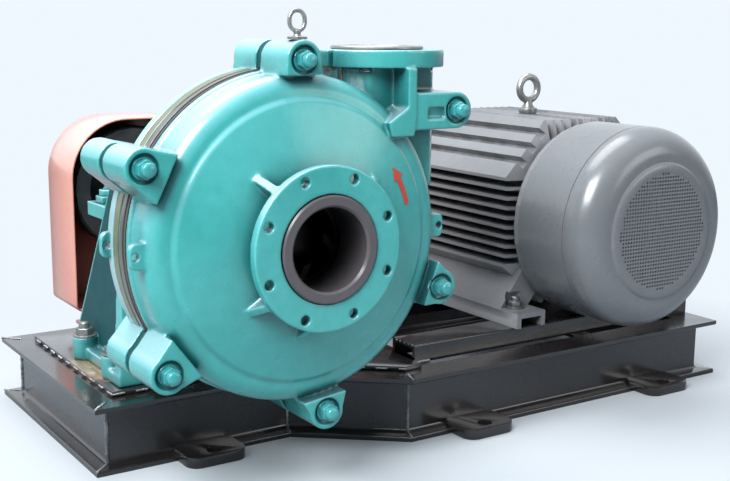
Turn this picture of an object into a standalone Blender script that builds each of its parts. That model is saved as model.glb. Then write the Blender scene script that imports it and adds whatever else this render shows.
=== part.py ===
"""Belt-driven slurry pump on a welded skid, in metres, +Z up.

The pump shaft lies along Y with the suction at the front, towards -Y. The discharge points up.
The motor stands to the right of the pump and drives it by three V belts at the back. Three empties
give the pieces their origins: one on the floor, one on the pump shaft's axis and one on the motor
shaft's axis. Lengths in the sections about the pump and the motor are measured from those axes.
"""
import math

import bmesh
import bpy
from mathutils import Matrix, Vector

# Fits and cuts
touch_gap = 0.0003
hole_clearance = 0.0008
running_gap = 0.0015
turning_gap = 0.0006
overrun = 0.004
merge_distance = 0.00001
flat_angle = 0.002
ring_steps = 32
round_steps = 20
shaft_steps = 24
pulley_steps = 24
bolt_steps = 10
arc_steps = 3
plate_arc_steps = 2
wire_sides = 6
wire_turn = 0.1
sharp_angle = 32

# Skid: a mitred frame of I-section beams, whose right end keeps its distance to the motor
skid_left = -0.221
skid_knee_x = 0.092
skid_shoulder_x = 0.240
skid_right_reach = 0.2443
skid_front_pump = 0.118
skid_front_motor = -0.002
skid_back = 0.565
beam_height = 0.100
beam_width = 0.056
beam_flange = 0.008
beam_web = 0.006
deck_thickness = 0.008
deck_inset = 0.043
deck_right = 0.288
cross_beam_x = 0.290
foot_plate_length = 0.095
foot_plate_reach = 0.046
foot_plate_thickness = 0.016
foot_plate_corner = 0.012
foot_plate_hole = 0.0115
foot_plate_hole_share = 0.5
pump_foot_plate_x = -0.050
motor_foot_plate_xs = (0.365, 0.770)
rear_foot_plate_xs = (-0.050, 0.365, 0.770)

# Motor rails
rail_left = 0.292
rail_right_reach = 0.2383
rail_height = 0.030
rail_width = 0.062
rail_wall = 0.007

# Pump axis and casing
pump_axis_height = 0.352
casing_radius = 0.224
casing_wall = 0.013
cover_back = -0.022
joint_width = 0.0085
frame_back = 0.036
frame_wall = 0.014
rim_width = 0.012
rim_step = 0.004
shoulder_front = -0.062
crease_inset = 0.033
crease_front = -0.086
crease_depth = 0.003
crease_width = 0.007
neck_radius = 0.084
neck_face = -0.119
suction_face = -0.151
suction_flange_radius = 0.1085
suction_flange_thickness = 0.015
suction_hole_circle = 0.0953
suction_hole_radius = 0.0065
suction_hole_count = 8
suction_hole_start = 22.5
gusset_angles = (40, 140, 220, 260, 320)
gusset_thickness = 0.012
gusset_reach = 0.128

# Casing lugs and bolts: one angle and one distance past the casing's edge for each place
lug_angles = (88.4, 154, 219, 279, 337.7, 33)
lug_overhangs = (0.0130, 0.0220, 0.0240, 0.0260, 0.0190, 0.0745)
lug_radius = 0.030
lug_front = -0.095
lug_back = 0.024
lug_root_width = 0.078
lug_hole_radius = 0.0108
lug_recess_radius = 0.022
lug_recess_depth = 0.004
bolt_radius = 0.010
bolt_tail = 0.016
nut_across = 0.030
nut_thickness = 0.016
washer_radius = 0.0205
washer_thickness = 0.0035
eye_link_width = 0.024
eye_link_height = 0.038
eye_link_wire = 0.0055
eye_stem_radius = 0.009
eye_stem_length = 0.012

# Side pads used to handle the two casing halves
pad_angles = (180, 0)
pad_overhang = 0.016
pad_width = 0.040
pad_thickness = 0.014
pad_cover_back = -0.040
pad_frame_front = 0.006
pad_hole_radius = 0.006

# Discharge: places in the casing's plane are shares of its radius
discharge_x_share = 0.768
discharge_y = 0.005
discharge_rise = 0.024
discharge_flange_radius = 0.095
discharge_flange_thickness = 0.024
discharge_neck_radius = 0.080
discharge_foot_share = 0.2455
discharge_bore_radius = 0.041
discharge_bolt_circle = 0.0762
discharge_hole_radius = 0.0085
discharge_hole_count = 4
discharge_ring_radius = 0.066
discharge_ring_height = 0.005
rib_front = -0.085
rib_floor = -0.057
rib_x_share = 0.7455
rib_width = 0.014
rib_knee_share = 0.7143
rib_end_x_share = 0.5982
rib_end_share = 0.5625
arm_left_share = 0.7366
arm_groove_left_share = 0.8571
arm_groove_right_share = 1.0089
arm_groove_low_share = 0.6696
arm_groove_high_share = 0.7321
arm_groove_depth = 0.006
sleeve_liner_radius = 0.050
sleeve_liner_foot_share = 0.4241

# Wet end
throat_bore_radius = 0.055
throat_outer_radius = 0.0705
throat_proud = 0.003
throat_disc_radius = 0.112
volute_wall = 0.025
cutwater_gap = 0.0175
volute_cutwater_angle = 55
cavity_front = -0.082
cavity_back = 0.006
impeller_share = 0.547
impeller_eye_radius = 0.052
impeller_hub_radius = 0.034
impeller_front = -0.079
impeller_back = 0.003
shroud_thickness = 0.009
vane_count = 5
vane_thickness = 0.012
vane_sweep = 95
vane_start_radius = 0.036
back_disc_radius = 0.112
impeller_bore = 0.0183
impeller_nose = -0.062
impeller_bore_end = -0.044

# Shaft, seal and bearing assembly
shaft_radius = 0.0240
shaft_thread_radius = 0.0180
shaft_end = 0.577
sleeve_radius = 0.0300
sleeve_end = 0.122
stuffing_radius = 0.072
stuffing_end = 0.090
stuffing_bore_radius = 0.0420
stuffing_throat_radius = 0.0320
stuffing_throat_end = 0.040
packing_back = 0.076
gland_nose_end = 0.098
gland_flange_radius = 0.062
gland_flange_thickness = 0.010
housing_front = 0.150
housing_back = 0.440
housing_radius = 0.072
housing_bore_radius = 0.052
housing_rib_radius = 0.078
housing_rib_width = 0.022
bearing_width = 0.030
bearing_inset = 0.014
cover_flange_radius = 0.0735
cover_flange_thickness = 0.012
cover_nose_depth = 0.012
cover_nose_wall = 0.008
clamp_width = 0.030
strap_thickness = 0.011
strap_ear = 0.030
strap_ys = (0.225, 0.365)
bearing_race_share = 0.28
bearing_dip_share = 0.12

# Bearing base
base_front_plate = 0.016
base_half_width = 0.130
base_wall = 0.012
base_top = 0.048
base_top_back = 0.270
base_foot_front = 0.207
base_foot_back = 0.457
base_wall_front = 0.235
base_knee_height = -0.125
base_front_low = -0.040
base_plate_low = -0.120
base_hole_radius = 0.080
base_strip_height = 0.018
base_strip_inner = 0.100
base_strip_outer = 0.154
base_boss_radius = 0.019
base_boss_height = 0.036
base_bolt_x = 0.150
base_bolt_ys = (0.226, 0.350)
base_bolt_radius = 0.008
base_nut_across = 0.024
base_nut_thickness = 0.013
base_bolt_tail = 0.010
saddle_radius = 0.088
saddle_front = 0.190
saddle_back = 0.400
saddle_start_angle = 16
base_corner = 0.040
rear_wall_top_half = 0.070

# Motor: its frame grows with the height of its shaft above the rails, and shares are of that height
motor_x = 0.6867
motor_axis_height = 0.3015
motor_body_front = 0.100
motor_body_back = 0.440
motor_body_share = 0.6893
motor_bore_share = 0.5228
motor_side_share = 0.9930
motor_top_share = 1.0047
motor_bottom_share = 0.8762
motor_fin_pitch_share = 0.09755
motor_fin_share = 0.03213
motor_fin_count = 10
motor_top_fin_count = 11
motor_corner_grooves = 3
motor_groove_share = 0.0818
motor_foot_front = 0.056
motor_foot_back = 0.400
motor_foot_inner_share = 0.7477
motor_foot_outer_share = 1.1098
motor_foot_height = 0.026
motor_foot_wall = 0.009
motor_foot_web_share = 0.3505
groove_land_share = 0.55
spot_share = 0.62
web_root_share = 0.5
fan_shield_depth = 0.024
motor_bolt_x_share = 0.9346
motor_bolt_ys = (0.098, 0.352)
motor_bolt_radius = 0.007
motor_nut_across = 0.022
motor_nut_thickness = 0.011
motor_bolt_tail = 0.009
shield_share = 0.8178
shield_thickness = 0.016
shield_boss_share = 0.3388
shield_boss_length = 0.028
fan_cover_share = 0.9901
fan_cover_back = 0.086
fan_cover_front = -0.081
fan_cover_wall = 0.0025
fan_cover_round_share = 0.2804
fan_cover_step = 0.004
grille_share = 0.5841
grille_pitch_share = 0.1285
grille_bar_share = 0.03797
grille_edge_share = 0.45
fan_hub_share = 0.1752
fan_share = 0.7477
fan_front = 0.000
fan_back = 0.045
fan_blade_count = 7
fan_blade_thickness = 0.004
fan_disc_thickness = 0.005
fan_disc_share = 0.8
rotor_gap = 0.0015
rotor_front = 0.150
rotor_back = 0.390
motor_shaft_share = 0.1227
terminal_front = 0.200
terminal_back = 0.330
terminal_width = 0.070
terminal_low_share = 0.0584
terminal_high_share = 0.7301
terminal_lid = 0.012
terminal_inner_share = 0.7068
terminal_proud_share = 0.45
terminal_gland_radius = 0.014
terminal_gland_length = 0.022
motor_eye_y = 0.264
motor_eye_radius = 0.0215
motor_eye_wire = 0.0065
motor_eye_collar_radius = 0.017
motor_eye_collar_height = 0.010
motor_eye_neck = 0.014

# Belt drive
pulley_front = 0.497
pulley_back = 0.571
pump_pulley_radius = 0.104
motor_pulley_radius = 0.078
pulley_hub_radius = 0.036
pulley_rim = 0.012
pulley_web = 0.014
belt_count = 3
belt_pitch = 0.019
belt_width = 0.0165
belt_depth = 0.0110
groove_depth = 0.0125
belt_proud = 0.0015
belt_tip = 0.0050
groove_clearance = 0.0005
hub_slope_share = 0.3
guard_corner = 0.100
guard_low_corner = 0.012
guard_knee_share = 0.5
guard_front = 0.484
guard_back = 0.583
guard_sheet = 0.003
guard_left_radius = 0.1155
guard_right_radius = 0.100
guard_floor_clearance = 0.0437
guard_top = 0.1225
guard_leg_width = 0.040
guard_leg_thickness = 0.006
guard_leg_foot = 0.045
guard_leg_y = 0.520
guard_leg_xs = (-0.070, 0.080)

# Sizes and places that follow from the ones above
deck_top = beam_height + touch_gap + deck_thickness
rail_base = beam_height + touch_gap
rail_top = rail_base + rail_height
skid_right = motor_x + skid_right_reach
rail_right = motor_x + rail_right_reach
guard_bottom = deck_top + guard_floor_clearance - pump_axis_height
crease_radius = casing_radius - crease_inset
lug_circles = [casing_radius + overhang for overhang in lug_overhangs]
pad_reach = casing_radius + pad_overhang
discharge_x = casing_radius * discharge_x_share
discharge_top = casing_radius + discharge_rise
discharge_neck_foot = casing_radius * discharge_foot_share
rib_x = casing_radius * rib_x_share
rib_knee_height = casing_radius * rib_knee_share
rib_end_x = casing_radius * rib_end_x_share
rib_end_height = casing_radius * rib_end_share
arm_left = casing_radius * arm_left_share
arm_groove_left = casing_radius * arm_groove_left_share
arm_groove_right = casing_radius * arm_groove_right_share
arm_groove_low = casing_radius * arm_groove_low_share
arm_groove_high = casing_radius * arm_groove_high_share
sleeve_liner_foot = casing_radius * sleeve_liner_foot_share
volute_end_radius = casing_radius - casing_wall - volute_wall
impeller_radius = casing_radius * impeller_share
volute_start_radius = impeller_radius + cutwater_gap
motor_rise = motor_axis_height - rail_top
motor_body_radius = motor_rise * motor_body_share
motor_bore_radius = motor_rise * motor_bore_share
motor_side_reach = motor_rise * motor_side_share
motor_top_reach = motor_rise * motor_top_share
motor_bottom_reach = motor_rise * motor_bottom_share
motor_fin_pitch = motor_rise * motor_fin_pitch_share
motor_fin_thickness = motor_rise * motor_fin_share
motor_groove_depth = motor_rise * motor_groove_share
motor_foot_inner = motor_rise * motor_foot_inner_share
motor_foot_outer = motor_rise * motor_foot_outer_share
motor_foot_web_height = motor_rise * motor_foot_web_share
motor_bolt_x = motor_rise * motor_bolt_x_share
shield_radius = motor_rise * shield_share
shield_boss_radius = motor_rise * shield_boss_share
fan_cover_radius = motor_rise * fan_cover_share
fan_cover_round = motor_rise * fan_cover_round_share
grille_radius = motor_rise * grille_share
grille_pitch = motor_rise * grille_pitch_share
grille_bar = motor_rise * grille_bar_share
fan_hub_radius = motor_rise * fan_hub_share
fan_radius = motor_rise * fan_share
rotor_radius = motor_bore_radius - rotor_gap
motor_shaft_radius = motor_rise * motor_shaft_share
terminal_low = motor_rise * terminal_low_share
terminal_high = motor_rise * terminal_high_share
terminal_inner = motor_rise * terminal_inner_share
frame_front = cover_back + joint_width
liner_back = frame_back - frame_wall - touch_gap
lug_places = [(circle * math.cos(math.radians(angle)), circle * math.sin(math.radians(angle)))
              for angle, circle in zip(lug_angles, lug_circles)]
left_reach = min(min(x for x, z in lug_places) - lug_radius, skid_left)
front_reach = min(suction_face - throat_proud, lug_front - nut_thickness - washer_thickness - bolt_tail)
back_reach = max(guard_back, skid_back + foot_plate_reach)
rail_ys = [y - rail_width / 2 for y in motor_bolt_ys]

teal_paint = (0.055, 0.38, 0.37, 1)
motor_paint = (0.30, 0.30, 0.31, 1)
skid_paint = (0.035, 0.030, 0.030, 1)
guard_paint = (0.62, 0.13, 0.08, 1)
liner_alloy = (0.16, 0.14, 0.15, 1)
steel = (0.42, 0.42, 0.41, 1)
zinc = (0.60, 0.60, 0.58, 1)
rubber = (0.03, 0.03, 0.03, 1)
cast_grey = (0.10, 0.10, 0.10, 1)
gasket_tan = (0.28, 0.24, 0.19, 1)
packing_fibre = (0.45, 0.42, 0.34, 1)

for old in list(bpy.data.objects):
    bpy.data.objects.remove(old, do_unlink=True)
collection = bpy.context.scene.collection


def anchor(name, place, parent=None):
    empty = bpy.data.objects.new(name, None)
    empty.location = place
    empty.parent = parent
    collection.objects.link(empty)
    return empty


floor_anchor = anchor("floor_anchor", (-(left_reach + skid_right) / 2, -(front_reach + back_reach) / 2, 0))
pump_axis = anchor("pump_axis", (0, 0, pump_axis_height), floor_anchor)
motor_axis = anchor("motor_axis", (motor_x, 0, motor_axis_height), floor_anchor)


def finished(name, mesh_builder, parent, colour, roughness, metallic=0.0):
    """Turns a bmesh into a named object with its own material, smooth where it is round."""
    bmesh.ops.remove_doubles(mesh_builder, verts=mesh_builder.verts, dist=merge_distance)
    bmesh.ops.recalc_face_normals(mesh_builder, faces=mesh_builder.faces)
    mesh = bpy.data.meshes.new(name)
    mesh_builder.to_mesh(mesh)
    mesh_builder.free()
    obj = bpy.data.objects.new(name, mesh)
    obj.parent = parent
    collection.objects.link(obj)
    material = bpy.data.materials.new(name)
    material.use_nodes = True
    shader = material.node_tree.nodes["Principled BSDF"]
    shader.inputs["Base Color"].default_value = colour
    shader.inputs["Roughness"].default_value = roughness
    shader.inputs["Metallic"].default_value = metallic
    mesh.materials.append(material)
    smooth_round(mesh)
    return obj


def smooth_round(mesh):
    mesh.shade_smooth()
    mesh.set_sharp_from_angle(angle=math.radians(sharp_angle))


def turned(name, profile, parent, look, steps=ring_steps):
    """A profile of (radius, y) points turned about Y; one that starts and ends at radius 0 is solid."""
    bm = bmesh.new()
    points = [bm.verts.new((radius, y, 0)) for radius, y in profile]
    closed = min(radius for radius, y in profile) > 0
    for first, second in zip(points, points[1:] + points[:1]):
        if closed or second is not points[0]:
            bm.edges.new((first, second))
    bmesh.ops.spin(bm, geom=bm.verts[:] + bm.edges[:], cent=(0, 0, 0), axis=(0, 1, 0),
                   angle=math.tau, steps=steps, use_merge=True)
    bmesh.ops.remove_doubles(bm, verts=bm.verts, dist=merge_distance)
    bmesh.ops.dissolve_degenerate(bm, edges=bm.edges, dist=merge_distance)
    middles = [vert for vert in bm.verts if math.hypot(vert.co.x, vert.co.z) < merge_distance]
    bmesh.ops.dissolve_verts(bm, verts=middles)
    return finished(name, bm, parent, *look)


def extruded(name, outline, direction, start, end, parent, look):
    """An outline pushed along an axis: (x, z) points for y, (y, z) for x and (x, y) for z."""
    place = {"y": lambda a, b: (a, start, b), "x": lambda a, b: (start, a, b),
             "z": lambda a, b: (a, b, start)}[direction]
    push = {"y": (0, end - start, 0), "x": (end - start, 0, 0), "z": (0, 0, end - start)}[direction]
    bm = bmesh.new()
    face = bm.faces.new([bm.verts.new(place(a, b)) for a, b in outline])
    result = bmesh.ops.extrude_face_region(bm, geom=[face], use_keep_orig=True)
    moved = [item for item in result["geom"] if isinstance(item, bmesh.types.BMVert)]
    bmesh.ops.translate(bm, verts=moved, vec=push)
    return finished(name, bm, parent, *look)


def combine(target, pieces, operation):
    """Joins pieces to the target or cuts them out of it, and keeps the target's name."""
    for piece in pieces:
        modifier = target.modifiers.new(piece.name, 'BOOLEAN')
        modifier.operation = operation
        modifier.solver = 'EXACT'
        modifier.object = piece
    graph = bpy.context.evaluated_depsgraph_get()
    mesh = bpy.data.meshes.new_from_object(target.evaluated_get(graph))
    target.modifiers.clear()
    material = target.data.materials[0]
    join_flat_faces(mesh)
    target.data = mesh
    mesh.materials.clear()
    mesh.materials.append(material)
    smooth_round(mesh)
    for piece in pieces:
        bpy.data.objects.remove(piece, do_unlink=True)
    return target


def join_flat_faces(mesh):
    """Merges the slivers that a cut leaves within one flat face."""
    bm = bmesh.new()
    bm.from_mesh(mesh)
    bmesh.ops.dissolve_limit(bm, angle_limit=flat_angle, verts=bm.verts, edges=bm.edges)
    bm.to_mesh(mesh)
    bm.free()


def join(target, pieces):
    return combine(target, pieces, 'UNION')


def cut(target, pieces):
    return combine(target, pieces, 'DIFFERENCE')


def box(name, x_range, y_range, z_range, parent, look):
    outline = [(x_range[0], z_range[0]), (x_range[1], z_range[0]), (x_range[1], z_range[1]),
               (x_range[0], z_range[1])]
    return extruded(name, outline, "y", y_range[0], y_range[1], parent, look)


def rod(name, direction, centre, radius, start, end, parent, look, steps=round_steps):
    outline = circle_points(centre, radius, steps)
    return extruded(name, outline, direction, start, end, parent, look)


def circle_points(centre, radius, steps, start=0.0):
    return [(centre[0] + radius * math.cos(start + math.tau * step / steps),
             centre[1] + radius * math.sin(start + math.tau * step / steps)) for step in range(steps)]


def arc_points(centre, radius, start, end, steps=arc_steps):
    return [(centre[0] + radius * math.cos(math.radians(start + (end - start) * step / steps)),
             centre[1] + radius * math.sin(math.radians(start + (end - start) * step / steps)))
            for step in range(steps + 1)]


def rotated(points, angle):
    c, s = math.cos(math.radians(angle)), math.sin(math.radians(angle))
    return [(c * a - s * b, s * a + c * b) for a, b in points]


def hex_points(centre, across):
    return circle_points(centre, across / math.sqrt(3), 6)


def rounded_box_outline(half_a, half_b, corner):
    points = []
    for sign_a, sign_b, start in ((1, 1, 0), (-1, 1, 90), (-1, -1, 180), (1, -1, 270)):
        points += arc_points((sign_a * (half_a - corner), sign_b * (half_b - corner)), corner, start,
                             start + 90,
                             plate_arc_steps)
    return points


def shifted(points, da, db):
    return [(a + da, b + db) for a, b in points]


teal = (teal_paint, 0.35)
motor_grey = (motor_paint, 0.45, 0.2)
skid_black = (skid_paint, 0.5)
guard_red = (guard_paint, 0.4)
dark_alloy = (liner_alloy, 0.5, 0.6)
bare_steel = (steel, 0.35, 0.9)
zinc_plate = (zinc, 0.3, 0.9)
black_rubber = (rubber, 0.8)
cast_iron = (cast_grey, 0.6, 0.4)


# Skid

skid_corners = [(skid_left, skid_front_pump), (skid_knee_x, skid_front_pump),
                (skid_shoulder_x, skid_front_motor),
                (skid_right, skid_front_motor), (skid_right, skid_back), (skid_left, skid_back)]
skid_sides = ("front_pump", "diagonal", "front_motor", "right", "rear", "left")


def inward_corner(index, inset):
    """The skid's corner moved inwards by inset from both sides that meet there."""
    before, corner, after = (Vector(skid_corners[(index + step) % len(skid_corners)]) for step in (-1, 0, 1))
    into, out = (corner - before).normalized(), (after - corner).normalized()
    normal_in, normal_out = Vector((-into.y, into.x)), Vector((-out.y, out.x))
    half = (normal_in + normal_out) / (1 + normal_in.dot(normal_out))
    return corner + half * inset


def beam_section():
    """I-section as (inset from the outer edge, height) points."""
    web_out, web_in = (beam_width - beam_web) / 2, (beam_width + beam_web) / 2
    top = beam_height - beam_flange
    return [(0, 0), (beam_width, 0), (beam_width, beam_flange), (web_in, beam_flange), (web_in, top),
            (beam_width, top), (beam_width, beam_height), (0, beam_height), (0, top), (web_out, top),
            (web_out, beam_flange), (0, beam_flange)]


def skid_beam(index):
    """One side of the frame, mitred at both of its ends."""
    count = len(skid_corners)
    along = (Vector(skid_corners[(index + 1) % count]) - Vector(skid_corners[index])).normalized() * touch_gap
    section = beam_section()
    bm = bmesh.new()
    ends = []
    for corner, sign in ((index, 1), ((index + 1) % count, -1)):
        places = [(inward_corner(corner, inset) + along * sign, height) for inset, height in section]
        ends.append([bm.verts.new((place.x, place.y, height)) for place, height in places])
    bm.faces.new(ends[0])
    bm.faces.new(ends[1][::-1])
    for step in range(len(section)):
        following = (step + 1) % len(section)
        bm.faces.new((ends[0][step], ends[1][step], ends[1][following], ends[0][following]))
    return finished("skid_beam_" + skid_sides[index], bm, floor_anchor, *skid_black)


beams = {side: skid_beam(index) for index, side in enumerate(skid_sides)}


def hold_down_plate(x, edge, outward):
    """A holed foot plate that runs from the beam's web out past its flange, along Y."""
    web = edge - outward * beam_width / 2
    outer = edge + outward * foot_plate_reach
    middle = (web + outer) / 2
    outline = shifted(rounded_box_outline(foot_plate_length / 2, abs(outer - web) / 2, foot_plate_corner),
                      x, middle)
    plate = extruded("plate", outline, "z", 0, foot_plate_thickness, floor_anchor, skid_black)
    hole = rod("hole", "z", (x, edge + outward * foot_plate_reach * foot_plate_hole_share), foot_plate_hole,
               -overrun, foot_plate_thickness + overrun, floor_anchor, skid_black, bolt_steps)
    return cut(plate, [hole])


join(beams["front_pump"], [hold_down_plate(pump_foot_plate_x, skid_front_pump, -1)])
join(beams["front_motor"], [hold_down_plate(x, skid_front_motor, -1) for x in motor_foot_plate_xs])
join(beams["rear"], [hold_down_plate(x, skid_back, 1) for x in rear_foot_plate_xs])


def cross_beam():
    """The beam between the diagonal corner and the rear beam, under the deck's right edge."""
    section = [(cross_beam_x - beam_width / 2 + inset, height) for inset, height in beam_section()]
    start = skid_front_motor + beam_width + touch_gap * 2
    return extruded("skid_beam_cross", section, "y", start, skid_back - beam_width - touch_gap, floor_anchor,
                    skid_black)


def deck_plate():
    corners = [inward_corner(index, deck_inset) for index in (0, 1, 2)]
    back = skid_back - deck_inset
    right = deck_right
    outline = [(corners[0].x, corners[0].y), (corners[1].x, corners[1].y), (corners[2].x, corners[2].y),
               (right, corners[2].y), (right, back), (corners[0].x, back)]
    plate = extruded("deck_plate", outline, "z", rail_base, deck_top, floor_anchor, skid_black)
    return cut(plate, [rod("hole", "z", (side * base_bolt_x, y), base_bolt_radius + hole_clearance,
                           rail_base - overrun, deck_top + overrun, floor_anchor, skid_black, bolt_steps)
                       for side in (-1, 1) for y in base_bolt_ys])


def motor_rail(name, y):
    """A C-channel rail laid on its open side, with its end seen at the left."""
    outer = [(y, rail_base), (y + rail_width, rail_base), (y + rail_width, rail_top), (y, rail_top)]
    rail = extruded(name, outer, "x", rail_left, rail_right, floor_anchor, skid_black)
    hollow = [(y + rail_wall, rail_base - overrun), (y + rail_width - rail_wall, rail_base - overrun),
              (y + rail_width - rail_wall, rail_top - rail_wall), (y + rail_wall, rail_top - rail_wall)]
    slots = [rod("hole", "z", (motor_x + side * motor_bolt_x, y + rail_width / 2),
                 motor_bolt_radius + hole_clearance,
                 rail_base, rail_top + overrun, floor_anchor, skid_black, bolt_steps) for side in (-1, 1)]
    channel = extruded("channel", hollow, "x", rail_left - overrun, rail_right + overrun, floor_anchor,
                       skid_black)
    return cut(rail, [channel] + slots)


cross_beam()
deck_plate()
for rail_name, rail_y in zip(("motor_rail_front", "motor_rail_rear"), rail_ys):
    motor_rail(rail_name, rail_y)


# Casing: the cover half at the front and the frame half behind it, bolted through six lugs

def lug_body(index, start, end):
    """A round boss with a straight root that runs in to the casing's wall."""
    x, z = lug_places[index]
    angle = math.degrees(math.atan2(z, x))
    reach = math.hypot(x, z)
    root = casing_radius - casing_wall / 2
    outline = arc_points((reach, 0), lug_radius, -90, 90, arc_steps * 2)
    outline += [(root, lug_root_width / 2), (root, -lug_root_width / 2)]
    return extruded("lug", rotated(outline, angle), "y", start, end, pump_axis, teal)


def lug_cutters(index, front, back, with_recess):
    """The bolt hole and, on the cover, the round recess that its nut sits in."""
    centre = lug_places[index]
    cutters = [rod("hole", "y", centre, lug_hole_radius, front - overrun, back + overrun, pump_axis, teal,
                   bolt_steps)]
    if with_recess:
        cutters.append(rod("recess", "y", centre, lug_recess_radius, front - overrun,
                           front + lug_recess_depth,
                           pump_axis, teal))
    else:
        cutters.append(rod("spot", "y", centre, lug_recess_radius, back, flange_reach(1), pump_axis, teal))
    return cutters


def side_pad(side, start, end):
    """A flat holed ear at the side of a casing half."""
    inner = casing_radius - casing_wall / 2
    half = pad_width / 2
    outline = [(inner, -half), (pad_reach - half / 2, -half), (pad_reach, -half / 2), (pad_reach, half / 2),
               (pad_reach - half / 2, half), (inner, half)]
    pad = extruded("pad", rotated(outline, side), "y", start, end, pump_axis, teal)
    hole_x = (inner + pad_reach) / 2 + casing_wall / 4
    hole = rod("hole", "y", rotated([(hole_x, 0)], side)[0], pad_hole_radius, start - overrun, end + overrun,
               pump_axis, teal, bolt_steps)
    return cut(pad, [hole])


def arm_outline():
    """The upper right lug stands on a level arm that comes off the discharge neck."""
    x, z = lug_places[-1]
    return arc_points((x, z), lug_radius, -90, 90, arc_steps * 2) + [(arm_left, z + lug_radius),
                                                                     (arm_left, z - lug_radius)]


def casing_lugs(start, end, front):
    """The six lugs of one casing half; front says that they carry the nut recess."""
    lugs, cutters = [], []
    for index in range(len(lug_places)):
        if index == len(lug_places) - 1:
            lugs.append(extruded("arm", arm_outline(), "y", start, end, pump_axis, teal))
        else:
            lugs.append(lug_body(index, start, end))
        cutters += lug_cutters(index, start, end, front)
    return lugs, cutters


def shoulder_curve(front_radius, front_y, back_radius, back_y, steps=arc_steps):
    """A quarter ellipse from the crease out to the rim, without its first point."""
    points = []
    for step in range(1, steps + 1):
        angle = math.pi / 2 * step / steps
        points.append((front_radius + (back_radius - front_radius) * math.sin(angle),
                       back_y + (front_y - back_y) * math.cos(angle)))
    return points


def cover_inside(margin):
    """The cover's inner wall from the joint face to the suction neck; margin moves it inwards."""
    wall = casing_wall + margin
    front_radius = crease_radius - casing_wall / 2
    points = [(casing_radius - wall, cover_back)]
    points += shoulder_curve(front_radius, crease_front + wall, casing_radius - wall,
                             shoulder_front + wall / 2)[::-1]
    points += [(front_radius, crease_front + wall), (neck_radius, neck_face + wall)]
    return points


def cover_cone_y(radius, margin):
    """Where the cover's inner cone lies at a radius."""
    (outer_radius, outer_y), (inner_radius, inner_y) = cover_inside(margin)[-2:]
    return inner_y + (outer_y - inner_y) * (radius - inner_radius) / (outer_radius - inner_radius)


def neck_tube(start_y, end_y, hollow):
    """The round discharge neck, from the casing up to its flange, between two planes across Y."""
    tube = rod("neck", "z", (discharge_x, discharge_y), discharge_neck_radius, discharge_neck_foot,
               discharge_top - overrun, pump_axis, teal, ring_steps)
    flange = rod("flange", "z", (discharge_x, discharge_y), discharge_flange_radius,
                 discharge_top - discharge_flange_thickness, discharge_top, pump_axis, teal, ring_steps)
    cutters = [hollow]
    if start_y < rib_floor:
        cutters.append(rest_box("flat", flange_reach(-1), rib_floor, discharge_top - discharge_flange_thickness))
    ends = []
    if start_y > flange_reach(-1):
        ends.append(rest_box("front", flange_reach(-1), start_y))
    if end_y < flange_reach(1):
        ends.append(rest_box("behind", end_y, flange_reach(1)))
    return cut(join(cut(tube, cutters), [flange]), ends)


def flange_reach(side):
    return discharge_y + side * (discharge_flange_radius + overrun)


def rest_box(name, start_y, end_y, top=discharge_top + overrun):
    """A cutter as wide as the discharge flange."""
    half = discharge_flange_radius + overrun
    return box(name, (discharge_x - half, discharge_x + half), (start_y, end_y),
               (discharge_neck_foot - overrun, top), pump_axis, teal)


def discharge_cutters():
    """The bore for the liner's neck and the flange's bolt holes."""
    cutters = [rod("bore", "z", (discharge_x, discharge_y), sleeve_liner_radius + touch_gap,
                   sleeve_liner_foot - touch_gap,
                   discharge_top + overrun, pump_axis, teal)]
    for index in range(discharge_hole_count):
        angle = math.tau * (index + 0.5) / discharge_hole_count
        place = (discharge_x + discharge_bolt_circle * math.cos(angle),
                 discharge_y + discharge_bolt_circle * math.sin(angle))
        cutters.append(rod("hole", "z", place, discharge_hole_radius,
                           discharge_top - discharge_flange_thickness - overrun, discharge_top + overrun,
                           pump_axis, teal, bolt_steps))
    return cutters


def neck_rib():
    """The raised border that runs down the neck and turns in to the cover's crease."""
    half = rib_width / 2
    top = discharge_top - discharge_flange_thickness / 2
    outline = [(rib_x, top), (rib_x, rib_knee_height), (rib_end_x, rib_end_height),
               (rib_end_x + half, rib_end_height - rib_width), (rib_x + rib_width, rib_knee_height - half),
               (rib_x + rib_width, top)]
    return extruded("rib", outline, "y", rib_front, rib_floor + overrun, pump_axis, teal)


def gusset(angle):
    """A small web between the suction flange and the cover's cone."""
    half = gusset_thickness / 2
    start = neck_radius - overrun
    back = suction_face + suction_flange_thickness / 2
    middle = -casing_wall / 2
    outline = [(start, back), (suction_flange_radius - overrun, back),
               (gusset_reach, cover_cone_y(gusset_reach, middle)),
               (start, cover_cone_y(start, middle))]
    web = extruded("gusset", outline, "z", -half, half, pump_axis, teal)
    web.data.transform(Matrix.Rotation(math.radians(-angle), 4, 'Y'))
    return web


def cover_hollow():
    """A solid out to the middle of the cover's wall, which keeps the cover's neck out of its inside."""
    middle = casing_wall / 2
    inside = [(0, cover_back + overrun), (casing_radius - middle, cover_back + overrun)]
    inside += cover_inside(-middle) + [(0, neck_face + middle)]
    return turned("inside", inside[::-1], pump_axis, teal)


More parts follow.
